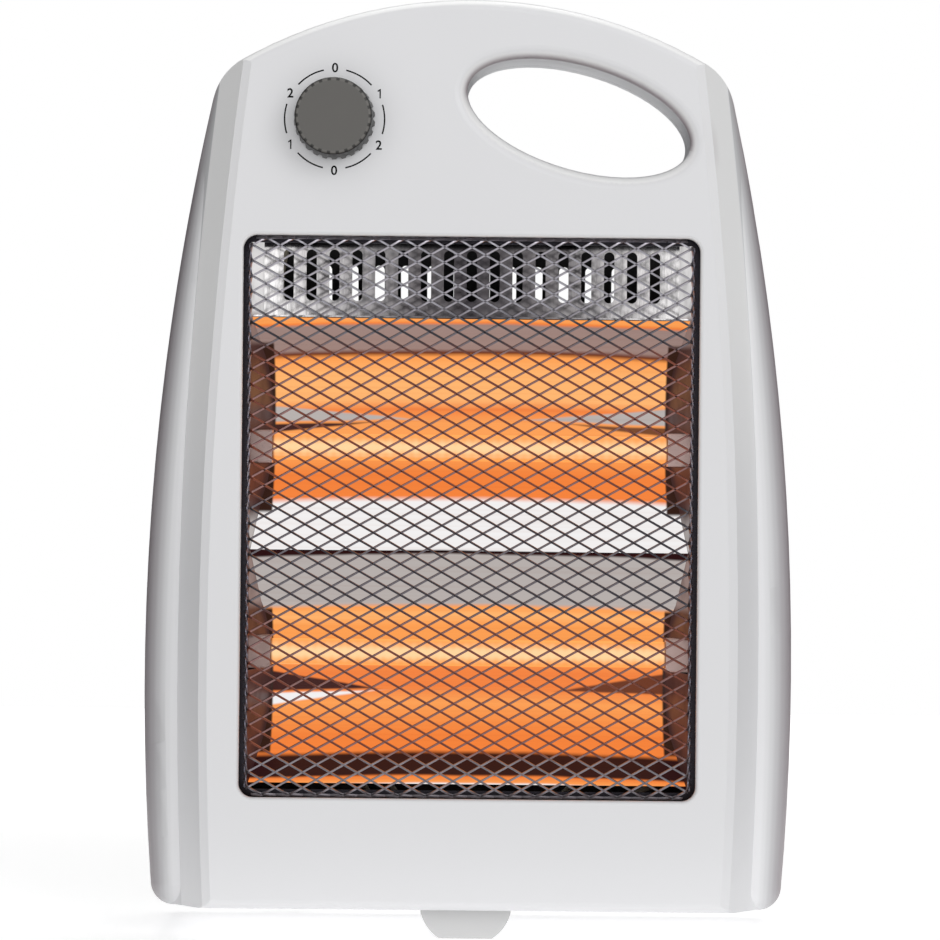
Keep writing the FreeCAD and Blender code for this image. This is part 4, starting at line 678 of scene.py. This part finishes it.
@dataclass(frozen=True)
class GlowingQuartz:
    """A quartz tube lit from inside by its coil, hottest along its middle."""

    name: str
    centre_z: float
    radius: float
    core: Colour
    edge: Colour
    fade: Span = (0.2, 1.05)
    half: float = 75.5 * MM
    end: float = 0.985
    end_colour: Colour = (0.10, 0.03, 0.01)
    pitch: float = 3.3 * MM
    pitch_share: float = 0.05
    mottles: float = 160.0
    mottle_share: float = 0.25
    relief: Span = (0.04 * MM, 0.3)

    def build(self) -> Material:
        """Return the material."""
        kit = NodeKit.named(self.name)
        x, _, z = kit.axes()
        off = kit.maths("DIVIDE", kit.apart(z, self.centre_z), self.radius)
        turn = kit.maths("SINE", kit.product(x, 2 * math.pi / self.pitch))
        mottle = kit.noise(self.mottles)
        mottled = kit.maths("MULTIPLY_ADD", mottle, self.mottle_share, off)
        rise = kit.maths("MULTIPLY_ADD", turn, self.pitch_share, mottled)
        lit = kit.mix(kit.spread(rise, *self.fade), self.core, self.edge)
        reach = kit.maths("DIVIDE", kit.maths("ABSOLUTE", x), self.half)
        return kit.surface(
            Base_Color=(0.10, 0.05, 0.03), Roughness=0.22, Normal=kit.bump(mottle, *self.relief),
            Coat_Weight=0.2, Coat_Roughness=0.10,
            Emission_Color=kit.mix(kit.spread(reach, self.end, 1.0), lit, self.end_colour), Emission_Strength=1.0,
        )


@dataclass(frozen=True)
class Ceramic:
    """A pressed ceramic with a speckled glaze and a painted glow in its own colour."""

    name: str
    colour: Colour
    glow: float
    specks: float = 900.0
    speck_cover: Cover = (0.62, 0.75, 0.3)
    speck_tone: float = 0.55
    soots: float = 70.0
    soot_cover: Cover = (0.45, 0.8, 0.35)
    soot_colour: Colour = (0.22, 0.14, 0.10)
    roughness: Span = (0.3, 0.55)
    relief: Span = (0.08 * MM, 0.3)

    def build(self) -> Material:
        """Return the material."""
        kit = NodeKit.named(self.name)
        speck, soot = kit.noise(self.specks, GRAIN), kit.noise(self.soots, MOTTLE)
        speckled = kit.cover(speck, *self.speck_cover)
        colour = kit.mix(speckled, self.colour, scaled(self.colour, self.speck_tone))
        colour = kit.mix(kit.cover(soot, *self.soot_cover), colour, self.soot_colour)
        # Painted glow in the ceramic's own colour
        return kit.surface(
            Base_Color=colour, Roughness=kit.spread(soot, *BROAD, *self.roughness),
            Normal=kit.bump(speck, *self.relief), Emission_Color=colour, Emission_Strength=self.glow,
        )


@dataclass(frozen=True)
class WovenSleeve:
    """A lead's woven heat sleeve, with fine crossing threads."""

    name: str
    colour: Colour
    thread: float = 1500.0
    thread_tone: float = 0.6
    stains: float = 80.0
    stain_cover: Cover = (0.5, 0.8, 0.3)
    stain_colour: Colour = (0.30, 0.24, 0.17)
    relief: Span = (0.12 * MM, 0.5)

    def build(self) -> Material:
        """Return the material."""
        kit = NodeKit.named(self.name)
        x, y, z = kit.axes()
        flat = kit.maths("ADD", x, y)
        ways = (kit.maths("ADD", flat, z), kit.maths("SUBTRACT", z, flat))
        waves = [kit.maths("SINE", kit.product(way, self.thread * 2 * math.pi)) for way in ways]
        weave = kit.spread(kit.product(*waves), -1.0, 1.0)
        colour = kit.mix(weave, scaled(self.colour, self.thread_tone), self.colour)
        stain = kit.cover(kit.noise(self.stains), *self.stain_cover)
        normal = kit.bump(weave, *self.relief)
        return kit.surface(
            Base_Color=kit.mix(stain, colour, self.stain_colour), Roughness=0.85, Normal=normal,
        )


@dataclass(frozen=True)
class PrintedInk:
    """Pad-printed ink with slightly uneven cover."""

    name: str
    colour: Colour
    specks: float = 1400.0
    speck_band: Span = (0.4, 0.8)
    speck_tone: float = 1.5
    roughness: Span = (0.6, 0.75)

    def build(self) -> Material:
        """Return the material."""
        kit = NodeKit.named(self.name)
        cover = kit.noise(self.specks)
        colour = kit.mix(kit.spread(cover, *self.speck_band), self.colour, scaled(self.colour, self.speck_tone))
        rough = kit.spread(cover, *BROAD, *self.roughness)
        return kit.surface(Base_Color=colour, Roughness=rough, Specular_IOR_Level=0.12)


@dataclass(frozen=True)
class StudioPaper:
    """The pale floor's matt paper, as white at its far end as near the heater."""

    name: str
    colour: Colour
    fibres: float = 400.0
    fibre_tone: float = 0.985
    depths: Span = (0.25, 1.2)
    glow: Span = (0.46, 0.70)
    relief: Span = (0.05 * MM, 0.1)

    def build(self) -> Material:
        """Return the material."""
        kit = NodeKit.named(self.name)
        fibre = kit.noise(self.fibres)
        return kit.surface(
            Base_Color=kit.mix(fibre, scaled(self.colour, self.fibre_tone), self.colour), Roughness=0.9,
            Normal=kit.bump(fibre, *self.relief), Emission_Color=FULL_WHITE,
            Emission_Strength=kit.spread(kit.axes()[1], *self.depths, *self.glow),
        )


def new_piece(name: str, mesh: BMesh, finish: Material, smooth: bool = False) -> bpy.types.Object:
    """Turn a mesh in progress into an object of the scene.

    Args:
        name: Name of the piece.
        mesh: Its mesh in the heater's frame, freed here.
        finish: Its material.
        smooth: Whether its faces shade smoothly.

    Returns:
        The new object.
    """
    data = bpy.data.meshes.new(name)
    bmesh.ops.recalc_face_normals(mesh, faces=mesh.faces)
    mesh.to_mesh(data)
    mesh.free()
    data.materials.append(finish)
    for face in data.polygons:
        face.use_smooth = smooth
    piece = bpy.data.objects.new(name, data)
    bpy.context.scene.collection.objects.link(piece)
    return piece


def ramp_stops(low: float, high: float, bands: Sequence[Stop]) -> list[Stop]:
    """Return heights in millimetres as shares of the height between two edges in metres."""
    return [((level * MM - low) / (high - low), colour) for level, colour in bands]


def dress(finish: Material, *nodes: str) -> None:
    """Give CAD nodes a finish.

    Args:
        finish: The material.
        *nodes: Names of the nodes.
    """
    for name in nodes:
        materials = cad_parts[name].data.materials
        materials.clear()
        materials.append(finish)
        LOG.info("dressed %s with %s", name, finish.name)


def join_rings(mesh: BMesh, rings: Sequence[Sequence[bmesh.types.BMVert]]) -> None:
    """Join rings of as many points into a solid with closed ends.

    Args:
        mesh: The mesh that holds the points.
        rings: The rings' points, in order along the solid.
    """
    for first, second in zip(rings, rings[1:]):
        for step in range(len(first)):
            follow = (step + 1) % len(first)
            mesh.faces.new((first[step], first[follow], second[follow], second[step]))
    mesh.faces.new(reversed(rings[0]))
    mesh.faces.new(rings[-1])


def swept_tube(path: Sequence[Vector], radius: float, sides: int) -> BMesh:
    """Sweep a round section along points, with closed ends.

    Args:
        path: Points along the middle of the tube.
        radius: The tube's radius.
        sides: Faces round the tube.

    Returns:
        The tube's mesh.
    """
    mesh = bmesh.new()
    rings = []
    side = Vector((0.0, 0.0, 1.0))
    for index, point in enumerate(path):
        way = (path[min(index + 1, len(path) - 1)] - path[max(index - 1, 0)]).normalized()
        side = (side - way * side.dot(way)).normalized()
        other = way.cross(side)
        angles = [2 * math.pi * step / sides for step in range(sides)]
        rings.append([mesh.verts.new(point + (side * math.cos(a) + other * math.sin(a)) * radius) for a in angles])
    join_rings(mesh, rings)
    return mesh


@dataclass
class Case:
    """The two shells, the foot, the gland and the zinc-plated screws."""

    seam_y: float = -20.0 * MM
    shell: Colour = linear(226, 226, 228)
    foot: Colour = linear(198, 198, 198)
    rubber: Colour = (0.012, 0.012, 0.013)
    zinc: Colour = (0.55, 0.56, 0.58)
    dull_zinc: Colour = (0.45, 0.44, 0.40)

    def dress(self) -> None:
        """Give the shells, the foot, the gland and the screws their finishes."""
        hole = Hollow(x=39.5 * MM, z=298.0 * MM, major=43.0 * MM, minor=19.3 * MM, tilt=15.9)
        roll = RolledSide(side_radius=1012.0 * MM, half_width=122.5 * MM, waist=87.0 * MM)
        dress(CasePlastic("case_plastic", self.shell, self.seam_y, hole, roll).build(), "front_case", "rear_case")
        dress(MouldedPlastic("foot_plastic", self.foot, roughness=0.4).build(), "tip_over_foot")
        dress(MouldedPlastic("gland_rubber", self.rubber, roughness=0.6, grain=1800.0).build(), "cable_gland")
        zinc = SheetMetal("zinc_plate", self.zinc, self.dull_zinc, roughness=0.34).build()
        dress(zinc, "case_screws", "box_screws", "switch_screws", "tip_over_screws", "thermal_cutout")


@dataclass
class Guard:
    """The expanded metal tray in the window, with its edges folded back to its frame."""

    half_width: float = 82.6 * MM
    low: float = 43.7 * MM
    high: float = 251.8 * MM
    front_y: float = -46.0 * MM
    fold_depth: float = 13.0 * MM
    fold_round: float = 1.6 * MM
    cell_width: float = 10.26 * MM
    cell_height: float = 5.8 * MM
    strand: float = 0.66 * MM
    tilt: float = 0.28 * MM
    sheet: float = 0.55 * MM
    folds: int = 4
    spare_cells: int = 3
    splay: float = 0.15
    holes: dict[tuple[int, int], list[bmesh.types.BMVert]] = field(default_factory=dict)

    def corners(self, mesh: BMesh, column: int, row: int) -> list[bmesh.types.BMVert]:
        """Return the right, upper, left and lower corner of one diamond hole.

        Args:
            mesh: The net's mesh.
            column: Half-cell column from the middle.
            row: Half-cell row from the middle.

        Returns:
            The four corner vertices, made on first use.
        """
        key = (column, row)
        if key not in self.holes:
            wide, tall = self.cell_width, self.cell_height
            spacing = wide * tall / math.hypot(wide, tall)
            share = 1 - self.strand / spacing
            x, z = column * wide / 2, (self.low + self.high) / 2 + row * tall / 2
            right, up = wide / 2 * share, tall / 2 * share
            spots = ((right, 0.0, 0.0), (0.0, self.tilt, up), (-right, 0.0, 0.0), (0.0, -self.tilt, -up))
            self.holes[key] = [mesh.verts.new((x + dx, dy, z + dz)) for dx, dy, dz in spots]
        return self.holes[key]

    def flat_net(self) -> BMesh:
        """Return the net before its edges are folded, one strand and knuckle at a time."""
        mesh = bmesh.new()
        columns = int((self.half_width + self.fold_depth) / self.cell_width * 2) + self.spare_cells
        rows = int((self.high - self.low + 2 * self.fold_depth) / self.cell_height) + self.spare_cells
        for column in range(-columns, columns):
            for row in range(-rows, rows):
                if (column + row) % 2:
                    continue
                here = self.corners(mesh, column, row)
                upper = self.corners(mesh, column + 1, row + 1)
                lower = self.corners(mesh, column + 1, row - 1)
                beyond = self.corners(mesh, column + 2, row)
                mesh.faces.new((here[0], upper[3], upper[2], here[1]))
                mesh.faces.new((here[3], lower[2], lower[1], here[0]))
                mesh.faces.new((here[0], lower[1], beyond[2], upper[3]))
        return mesh

    def trim(self, mesh: BMesh, point: Vector, normal: Vector, clear: bool) -> None:
        """Cut the net along a plane, and clear what lies beyond it if asked."""
        parts = mesh.verts[:] + mesh.edges[:] + mesh.faces[:]
        bmesh.ops.bisect_plane(mesh, geom=parts, plane_co=point, plane_no=normal, clear_outer=clear)

    def folded(self, value: float, edge: float) -> tuple[float, float]:
        """Bend one coordinate round a fold.

        Args:
            value: Distance from the middle in the flat net.
            edge: Distance at which the tray turns back.

        Returns:
            The distance from the middle and the depth behind the front.
        """
        start = edge - self.fold_round
        over = abs(value) - start
        if over <= 0:
            return value, 0.0
        angle = min(over / self.fold_round, math.pi / 2)
        run = max(0.0, over - self.fold_round * math.pi / 2)
        out = start + self.fold_round * math.sin(angle) + run * self.splay
        return math.copysign(out, value), self.fold_round * (1 - math.cos(angle)) + run

    def build(self) -> None:
        """Make the net, fold it, thicken it and let it stand for the plain guard."""
        mesh = self.flat_net()
        middle = (self.low + self.high) / 2
        half_height = (self.high - self.low) / 2
        quarter = self.fold_round * math.pi / 2
        limit = self.fold_depth - self.fold_round + quarter
        origin = Vector((0, 0, middle))
        for axis, half in ((Vector((1, 0, 0)), self.half_width), (Vector((0, 0, 1)), half_height)):
            start = half - self.fold_round
            cuts = [start + quarter * step / self.folds for step in range(self.folds + 1)]
            for sign in (-1, 1):
                self.trim(mesh, origin + axis * (sign * (start + limit)), axis * sign, True)
                for place in cuts:
                    self.trim(mesh, origin + axis * (sign * place), axis * sign, False)
        # The corners that two folds would share are cut away before folding
        turn_x, turn_z = self.half_width - self.fold_round, half_height - self.fold_round
        spots = [(face, face.calc_center_median()) for face in mesh.faces]
        corners = [face for face, spot in spots if abs(spot.x) > turn_x and abs(spot.z - middle) > turn_z]
        bmesh.ops.delete(mesh, geom=corners, context="FACES")
        for vert in mesh.verts:
            x, depth_x = self.folded(vert.co.x, self.half_width)
            z, depth_z = self.folded(vert.co.z - middle, half_height)
            vert.co = Vector((x, self.front_y + vert.co.y + depth_x + depth_z, middle + z))
        piece = new_piece("guard_net", mesh, self.finish().build())
        thick = piece.modifiers.new("sheet", "SOLIDIFY")
        thick.thickness = self.sheet
        thick.offset = 0.0
        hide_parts("guard_mesh")
        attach(piece, Body.HEATER.value)
        LOG.info("built %s with %d faces", piece.name, len(piece.data.polygons))

    def finish(self) -> GuardWire:
        """Return the strands' finish, with painted light by height after what lies behind them."""
        # Painted glow over the lit troughs, painted shade between them, pale painted light before the plate
        warm, cool = linear(138, 82, 68), linear(74, 72, 78)
        grey, pale = linear(140, 136, 142), linear(172, 170, 178)
        levels = [(self.low / MM, grey), (56.0, grey), (60.0, warm), (108.0, warm), (115.0, cool), (152.0, cool),
                  (158.0, warm), (208.0, warm), (214.0, cool), (221.0, cool), (228.0, pale)]
        painted_light_tones = ramp_stops(self.low, self.high, levels)
        return GuardWire("guard_wire", self.low, self.high, painted_light_tones, self.half_width)


# Tones of the painted glow, painted reflections and painted shade on the heated metal
ORANGE = linear(252, 160, 84)
DEEP = linear(243, 130, 60)
PALE = linear(255, 182, 112)
HOT = linear(255, 206, 148)
# Browns of painted shade in the painted reflections
BROWN_SHADE = linear(96, 40, 26)
DARK_BROWN_SHADE = linear(58, 20, 18)
GREY = linear(154, 130, 124)
SILVER = linear(182, 175, 172)
WHITE = linear(242, 240, 240)
TINT = linear(78, 52, 50)
# Near black of painted shade in the painted reflections
DARK_SHADE = linear(42, 16, 18)


@dataclass
class Heating:
    """The troughs, tubes, caps and plates behind the guard, and the switches and leads they need."""

    upper_low: float = 134.9 * MM
    upper_high: float = 222.9 * MM
    lower_low: float = 46.7 * MM
    lower_high: float = 134.7 * MM
    upper_tube: float = 174.0 * MM
    lower_tube: float = 95.6 * MM
    tube_radius: float = 5.0 * MM
    plate_half: float = 84.0 * MM
    plate_top: float = 255.0 * MM
    # Painted glow: the right caps are painted brighter than the left
    cap_glows: tuple[tuple[str, float], ...] = (("left", 0.02), ("right", 0.24))
    brass: Colour = (0.62, 0.45, 0.18)
    dull_brass: Colour = (0.40, 0.32, 0.20)
    dark: Colour = (0.018, 0.018, 0.02)

    def upper_trough(self) -> LitTrough:
        """Return the upper trough's finish."""
        bands = [(135.0, DARK_SHADE), (135.5, WHITE), (153.6, WHITE), (155.8, DEEP), (164, DEEP), (172, ORANGE),
                 (184, ORANGE), (189, DEEP), (193, PALE), (203, PALE), (209, ORANGE), (210.6, BROWN_SHADE),
                 (212, GREY), (220.5, GREY), (221.5, DEEP), (222.3, ORANGE)]
        low, high = self.upper_low, self.upper_high
        wedges = (Wedge(level=184.7 * MM, half=3.4 * MM, start=0.20, colour=SILVER, skew=1.0),
                  Wedge(level=184.5 * MM, half=2.0 * MM, start=0.40, colour=DARK_BROWN_SHADE, right=0.85, skew=-1.0))
        shaded = (149.0 * MM, 213.5 * MM)
        return LitTrough("upper_trough", low, high, ramp_stops(low, high, bands), wedges, shaded)

    def lower_trough(self) -> LitTrough:
        """Return the lower trough's finish."""
        bands = [(46.75, WHITE), (47.2, WHITE), (47.5, ORANGE), (49.6, DEEP), (50.3, DARK_SHADE), (57.2, DARK_SHADE),
                 (58.6, DEEP), (64, DEEP), (76, ORANGE), (82, DEEP), (88, DEEP), (96, ORANGE), (106, ORANGE),
                 (110, PALE), (113.2, ORANGE), (114.8, SILVER), (133.4, SILVER), (134.2, DARK_SHADE)]
        low, high = self.lower_low, self.lower_high
        wedges = (Wedge(level=80.6 * MM, half=2.5 * MM, start=0.40, colour=WHITE, right=0.0, skew=-1.0),
                  Wedge(level=80.8 * MM, half=4.3 * MM, start=0.42, colour=DARK_BROWN_SHADE, right=0.88, skew=1.0))
        shaded = (57.0 * MM, 112.0 * MM)
        return LitTrough("lower_trough", low, high, ramp_stops(low, high, bands), wedges, shaded)

    def dress(self) -> None:
        """Give every piece of the reflector box and of its wiring a finish."""
        dress(self.upper_trough().build(), "upper_reflector")
        dress(self.lower_trough().build(), "lower_reflector")
        for name, level in (("upper", self.upper_tube), ("lower", self.lower_tube)):
            glow = GlowingQuartz(f"{name}_glow", level, self.tube_radius, HOT, ORANGE)
            dress(glow.build(), f"{name}_quartz_tube")
        # Painted reflection on the slotted plate, dark in the middle and light at the ends
        painted_light_tones = [(0.0, linear(70, 66, 70)), (0.3, linear(112, 108, 110)), (0.6, linear(170, 167, 168)),
                  (0.8, linear(214, 211, 211)), (1.0, linear(240, 238, 238))]
        dress(MirrorPlate("polished_plate", self.plate_half, painted_light_tones).build(), "slotted_plate")
        # Painted reflection on the side plates, in bands by height
        tones = [(46.7, DARK_SHADE), (58.0, TINT), (112.0, TINT), (115.0, GREY), (133.0, GREY), (134.7, DARK_SHADE),
                 (136.0, SILVER), (144.0, SILVER), (150.0, TINT), (212.0, TINT), (214.5, GREY), (223.0, GREY),
                 (225.5, WHITE)]
        low, high = self.lower_low, self.plate_top
        side = BandedPlate("tinted_plate", low, high, ramp_stops(low, high, tones))
        dress(side.build(), "left_side_plate", "right_side_plate")
        bare = SheetMetal("bare_frame", linear(58, 56, 62), linear(36, 34, 38), roughness=0.3)
        dress(bare.build(), "guard_frame", "switch_shaft")
        for side, glow in self.cap_glows:
            glaze = Ceramic(f"{side}_cap_ceramic", linear(200, 174, 168), glow)
            dress(glaze.build(), f"upper_{side}_cap", f"lower_{side}_cap")
        wire = SheetMetal("hot_wire", linear(180, 96, 50), linear(120, 60, 34), roughness=0.4)
        dress(wire.build(), "upper_filament", "lower_filament")
        brass = SheetMetal("tab_brass", self.brass, self.dull_brass, roughness=0.28)
        dress(brass.build(), "cap_terminals", "switch_terminals", "tip_over_terminals", "cutout_terminals")
        dark = MouldedPlastic("dark_plastic", self.dark, roughness=0.45)
        dress(dark.build(), "switch_body", "tip_over_switch", "terminal_block")
        sleeve = WovenSleeve("lead_sleeve", linear(214, 206, 188))
        leads = ["live_lead", "cutout_lead", "dial_lead", "upper_tube_lead", "lower_tube_lead"]
        dress(sleeve.build(), *leads, "tube_link", "neutral_lead")


@dataclass
class Dial:
    """The fluted knob and the ring of figures printed round it."""

    x: float = -51.9 * MM
    z: float = 296.5 * MM
    face_y: float = -48.0 * MM
    figure_ring: float = 19.2 * MM
    arc_ring: float = 18.7 * MM
    arc_width: float = 0.55 * MM
    figure_height: float = 3.5 * MM
    arc_gap: float = 13.0
    ink_depth: float = 0.06 * MM
    ink_spread: float = 0.09 * MM
    figures: tuple[str, ...] = ("0", "1", "2", "0", "1", "2")
    one_shares: tuple[Span, ...] = (
        (0.02, -0.5), (0.16, -0.5), (0.16, 0.5), (0.06, 0.5), (-0.17, 0.33), (-0.17, 0.18), (0.02, 0.30),
    )
    steps: int = 14
    cap_share: float = 0.72
    curve_steps: int = 6

    def build(self) -> None:
        """Dress the knob and print the figures and arcs."""
        dress(KnobPlastic("knob_plastic", linear(92, 90, 87), self.x, self.z).build(), "knob")
        ink = PrintedInk("dial_ink", linear(16, 16, 18)).build()
        self.print_arcs(ink)
        for index, figure in enumerate(self.figures):
            self.print_figure(index, figure, ink)

    def spot(self, angle: float, radius: float, lift: float = 0.0) -> Vector:
        """Return a point by its degrees clockwise from the top, its radius and its lift over the panel."""
        turn = math.radians(angle)
        return Vector((self.x + radius * math.sin(turn), self.face_y - lift, self.z + radius * math.cos(turn)))

    def print_arcs(self, ink: Material) -> None:
        """Print an arc between each two figures.

        Args:
            ink: The ink's material.
        """
        mesh = bmesh.new()
        step_angle = 360 / len(self.figures)
        inner, outer = self.arc_ring - self.arc_width / 2, self.arc_ring + self.arc_width / 2
        section = ((inner, 0.0), (outer, 0.0), (outer, self.ink_depth), (inner, self.ink_depth))
        span = step_angle - 2 * self.arc_gap
        for index in range(len(self.figures)):
            start = index * step_angle + self.arc_gap
            angles = [start + span * step / self.steps for step in range(self.steps + 1)]
            join_rings(mesh, [[mesh.verts.new(self.spot(angle, *spot)) for spot in section] for angle in angles])
        piece = new_piece("dial_arcs", mesh, ink)
        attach(piece, Body.HEATER.value)
        LOG.info("printed %s", piece.name)

    def print_figure(self, index: int, figure: str, ink: Material) -> None:
        """Print one upright figure at its place round the dial.

        Args:
            index: Place round the dial, clockwise from the top.
            figure: The figure.
            ink: The ink's material.
        """
        data = self.flagged_one() if figure == "1" else self.lettered(figure)
        middle = self.spot(index * 360 / len(self.figures), self.figure_ring)
        low = [min(vert.co[axis] for vert in data.vertices) for axis in range(2)]
        high = [max(vert.co[axis] for vert in data.vertices) for axis in range(2)]
        centre = Vector(((low[0] + high[0]) / 2, (low[1] + high[1]) / 2, 0.0))
        turn = Matrix.Translation(middle) @ Matrix.Rotation(math.pi / 2, 4, "X") @ Matrix.Translation(-centre)
        data.transform(turn)
        data.materials.clear()
        data.materials.append(ink)
        data.name = f"figure_{index}"
        piece = bpy.data.objects.new(f"figure_{index}", data)
        bpy.context.scene.collection.objects.link(piece)
        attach(piece, Body.HEATER.value)
        LOG.info("printed %s", piece.name)

    def flagged_one(self) -> bpy.types.Mesh:
        """Return a figure one with its flag, flat on its page."""
        mesh = bmesh.new()
        tall = self.figure_height
        lifts = (self.ink_depth, -self.ink_depth)
        join_rings(mesh, [[mesh.verts.new((x * tall, y * tall, lift)) for x, y in self.one_shares] for lift in lifts])
        bmesh.ops.recalc_face_normals(mesh, faces=mesh.faces)
        data = bpy.data.meshes.new("flagged_one")
        mesh.to_mesh(data)
        mesh.free()
        return data

    def lettered(self, figure: str) -> bpy.types.Mesh:
        """Return a figure set in plain type, flat on its page.

        Args:
            figure: The figure.

        Returns:
            Its mesh.
        """
        curve = bpy.data.curves.new(f"type_{figure}", "FONT")
        curve.body = figure
        curve.align_x = "CENTER"
        curve.align_y = "CENTER"
        curve.size = self.figure_height / self.cap_share
        curve.extrude = self.ink_depth
        curve.offset = self.ink_spread
        curve.resolution_u = self.curve_steps
        text = bpy.data.objects.new("figure_text", curve)
        bpy.context.scene.collection.objects.link(text)
        bpy.context.view_layer.update()
        data = bpy.data.meshes.new_from_object(text.evaluated_get(bpy.context.evaluated_depsgraph_get()))
        bpy.data.objects.remove(text)
        return data


@dataclass
class FootSpring:
    """The coil spring round the foot's stem."""

    y: float = -34.0 * MM
    low: float = 5.5 * MM
    high: float = 20.3 * MM
    radius: float = 4.2 * MM
    wire: float = 0.4 * MM
    turns: float = 5.0
    steps: int = 28
    keep: float = 0.30
    sides: int = 10
    steel: Colour = (0.50, 0.51, 0.53)
    dull_steel: Colour = (0.36, 0.34, 0.30)

    def build(self) -> None:
        """Wind the spring and let it stand for the plain one."""
        count = int(self.turns * self.steps)
        path = []
        for step in range(count + 1):
            angle = 2 * math.pi * step / self.steps
            rise = self.low + (self.high - self.low) * step / count
            path.append(Vector((self.radius * math.cos(angle), self.y + self.radius * math.sin(angle), rise)))
        finish = SheetMetal("spring_wire", self.steel, self.dull_steel, roughness=0.25).build()
        piece = new_piece("foot_spring", swept_tube(path, self.wire, self.sides), finish, smooth=True)
        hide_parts("tip_over_spring")
        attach(piece, Body.HEATER.value)
        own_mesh(piece)
        LOG.info("wound %s", piece.name)


@dataclass(frozen=True)
class Room:
    """A white room that lights the front, leaves the sides dim and shows plain white behind."""

    name: str
    front: float = 1.235
    side: float = 0.02
    rim: float = -0.30
    heart: float = -0.95
    lean: float = 0.05
    above: float = 0.05

    def build(self) -> bpy.types.World:
        """Return the room as a world."""
        kit = NodeKit(bpy.data.worlds.new(self.name))
        way = kit.add("ShaderNodeSeparateXYZ", {0: kit.add("ShaderNodeTexCoord").outputs["Generated"]}).outputs
        level = kit.spread(way[1], self.rim, self.heart, self.side, self.front)
        for axis, share in ((0, self.lean), (2, self.above)):
            level = kit.maths("MULTIPLY_ADD", way[axis], share, level)
        lit = kit.tree.nodes["Background"]
        kit.feed(lit.inputs["Color"], FULL_WHITE)
        kit.feed(lit.inputs["Strength"], level)
        plain = kit.add("ShaderNodeBackground", {"Color": FULL_WHITE})
        seen = kit.add("ShaderNodeLightPath").outputs["Is Camera Ray"]
        blend = kit.add("ShaderNodeMixShader", {0: seen, 1: lit.outputs[0], 2: plain.outputs[0]})
        kit.feed(kit.tree.nodes["World Output"].inputs["Surface"], blend.outputs[0])
        return kit.owner


@dataclass
class Studio:
    """The pale floor, the soft lights, the white room and the camera."""

    distance: float = 1.5
    parting_y: float = -20.0 * MM
    eye_z: float = 169.5 * MM
    scale: float = 0.381 * MM
    frame_pixels: float = 940.0
    eye_row: float = 460.0
    roll: float = 0.57
    floor_z: float = -11.0 * MM
    floor_half: float = 0.5
    floor_front: float = -0.068
    floor_back: float = 1.3
    sensor: float = 36.0
    paper: Colour = (0.95, 0.95, 0.95)
    middle: Place = (0.0, 0.0, 0.17)
    behind: Place = (0.0, 0.4, 0.0)

    def build(self) -> None:
        """Set the floor, the lights, the room and the camera."""
        self.floor()
        self.lights()
        self.camera()

    def floor(self) -> None:
        """Lay the floor."""
        mesh = bmesh.new()
        wide, front, back = self.floor_half, self.floor_front, self.floor_back
        spots = ((-wide, front), (wide, front), (wide, back), (-wide, back))
        mesh.faces.new([mesh.verts.new((x, y, self.floor_z)) for x, y in spots])
        paper = StudioPaper("studio_paper", self.paper).build()
        new_piece("studio_floor", mesh, paper)

    def lamp(self, name: str, place: Place, target: Place, size: float, power: float) -> None:
        """Hang one soft square light.

        Args:
            name: Name of the light.
            place: Where it hangs.
            target: What it points at.
            size: Width of its face.
            power: Its power in watts.
        """
        light = bpy.data.lights.new(name, "AREA")
        light.size = size
        light.energy = power
        lamp = bpy.data.objects.new(name, light)
        lamp.location = place
        lamp.rotation_euler = (Vector(target) - Vector(place)).to_track_quat("-Z", "Y").to_euler()
        lamp.visible_camera = False
        bpy.context.scene.collection.objects.link(lamp)

    def lights(self) -> None:
        """Hang the lights and fill the room with white."""
        self.lamp("key_light", (0.9, -1.6, 0.9), self.middle, size=1.0, power=7.0)
        self.lamp("fill_light", (-0.6, -1.8, 0.5), self.middle, size=1.2, power=1.0)
        self.lamp("top_light", (0.0, 0.5, 1.9), self.behind, size=1.2, power=16.0)
        bpy.context.scene.world = Room("studio_room").build()

    def camera(self) -> None:
        """Stand the camera square to the heater's front, as far away as the photograph's."""
        data = bpy.data.cameras.new("front_camera")
        pixels = self.distance / self.scale
        data.sensor_width = self.sensor
        data.lens = pixels / self.frame_pixels * self.sensor
        data.shift_y = (self.eye_row - self.frame_pixels / 2) / self.frame_pixels
        camera = bpy.data.objects.new("front_camera", data)
        place = Matrix.Translation((0.0, self.parting_y - self.distance, self.eye_z))
        upright = Matrix.Rotation(math.pi / 2, 4, "X")
        camera.matrix_world = place @ upright @ Matrix.Rotation(math.radians(self.roll), 4, "Z")
        bpy.context.scene.collection.objects.link(camera)
        bpy.context.scene.camera = camera


def main() -> None:
    """Dress the heater piece by piece, then set the studio round it."""
    logging.basicConfig(level=logging.INFO, format="%(name)s: %(message)s")
    bpy.context.scene.view_settings.view_transform = "Standard"
    Case().dress()
    Heating().dress()
    Guard().build()
    Dial().build()
    FootSpring().build()
    Studio().build()


if __name__ == "__main__":
    main()
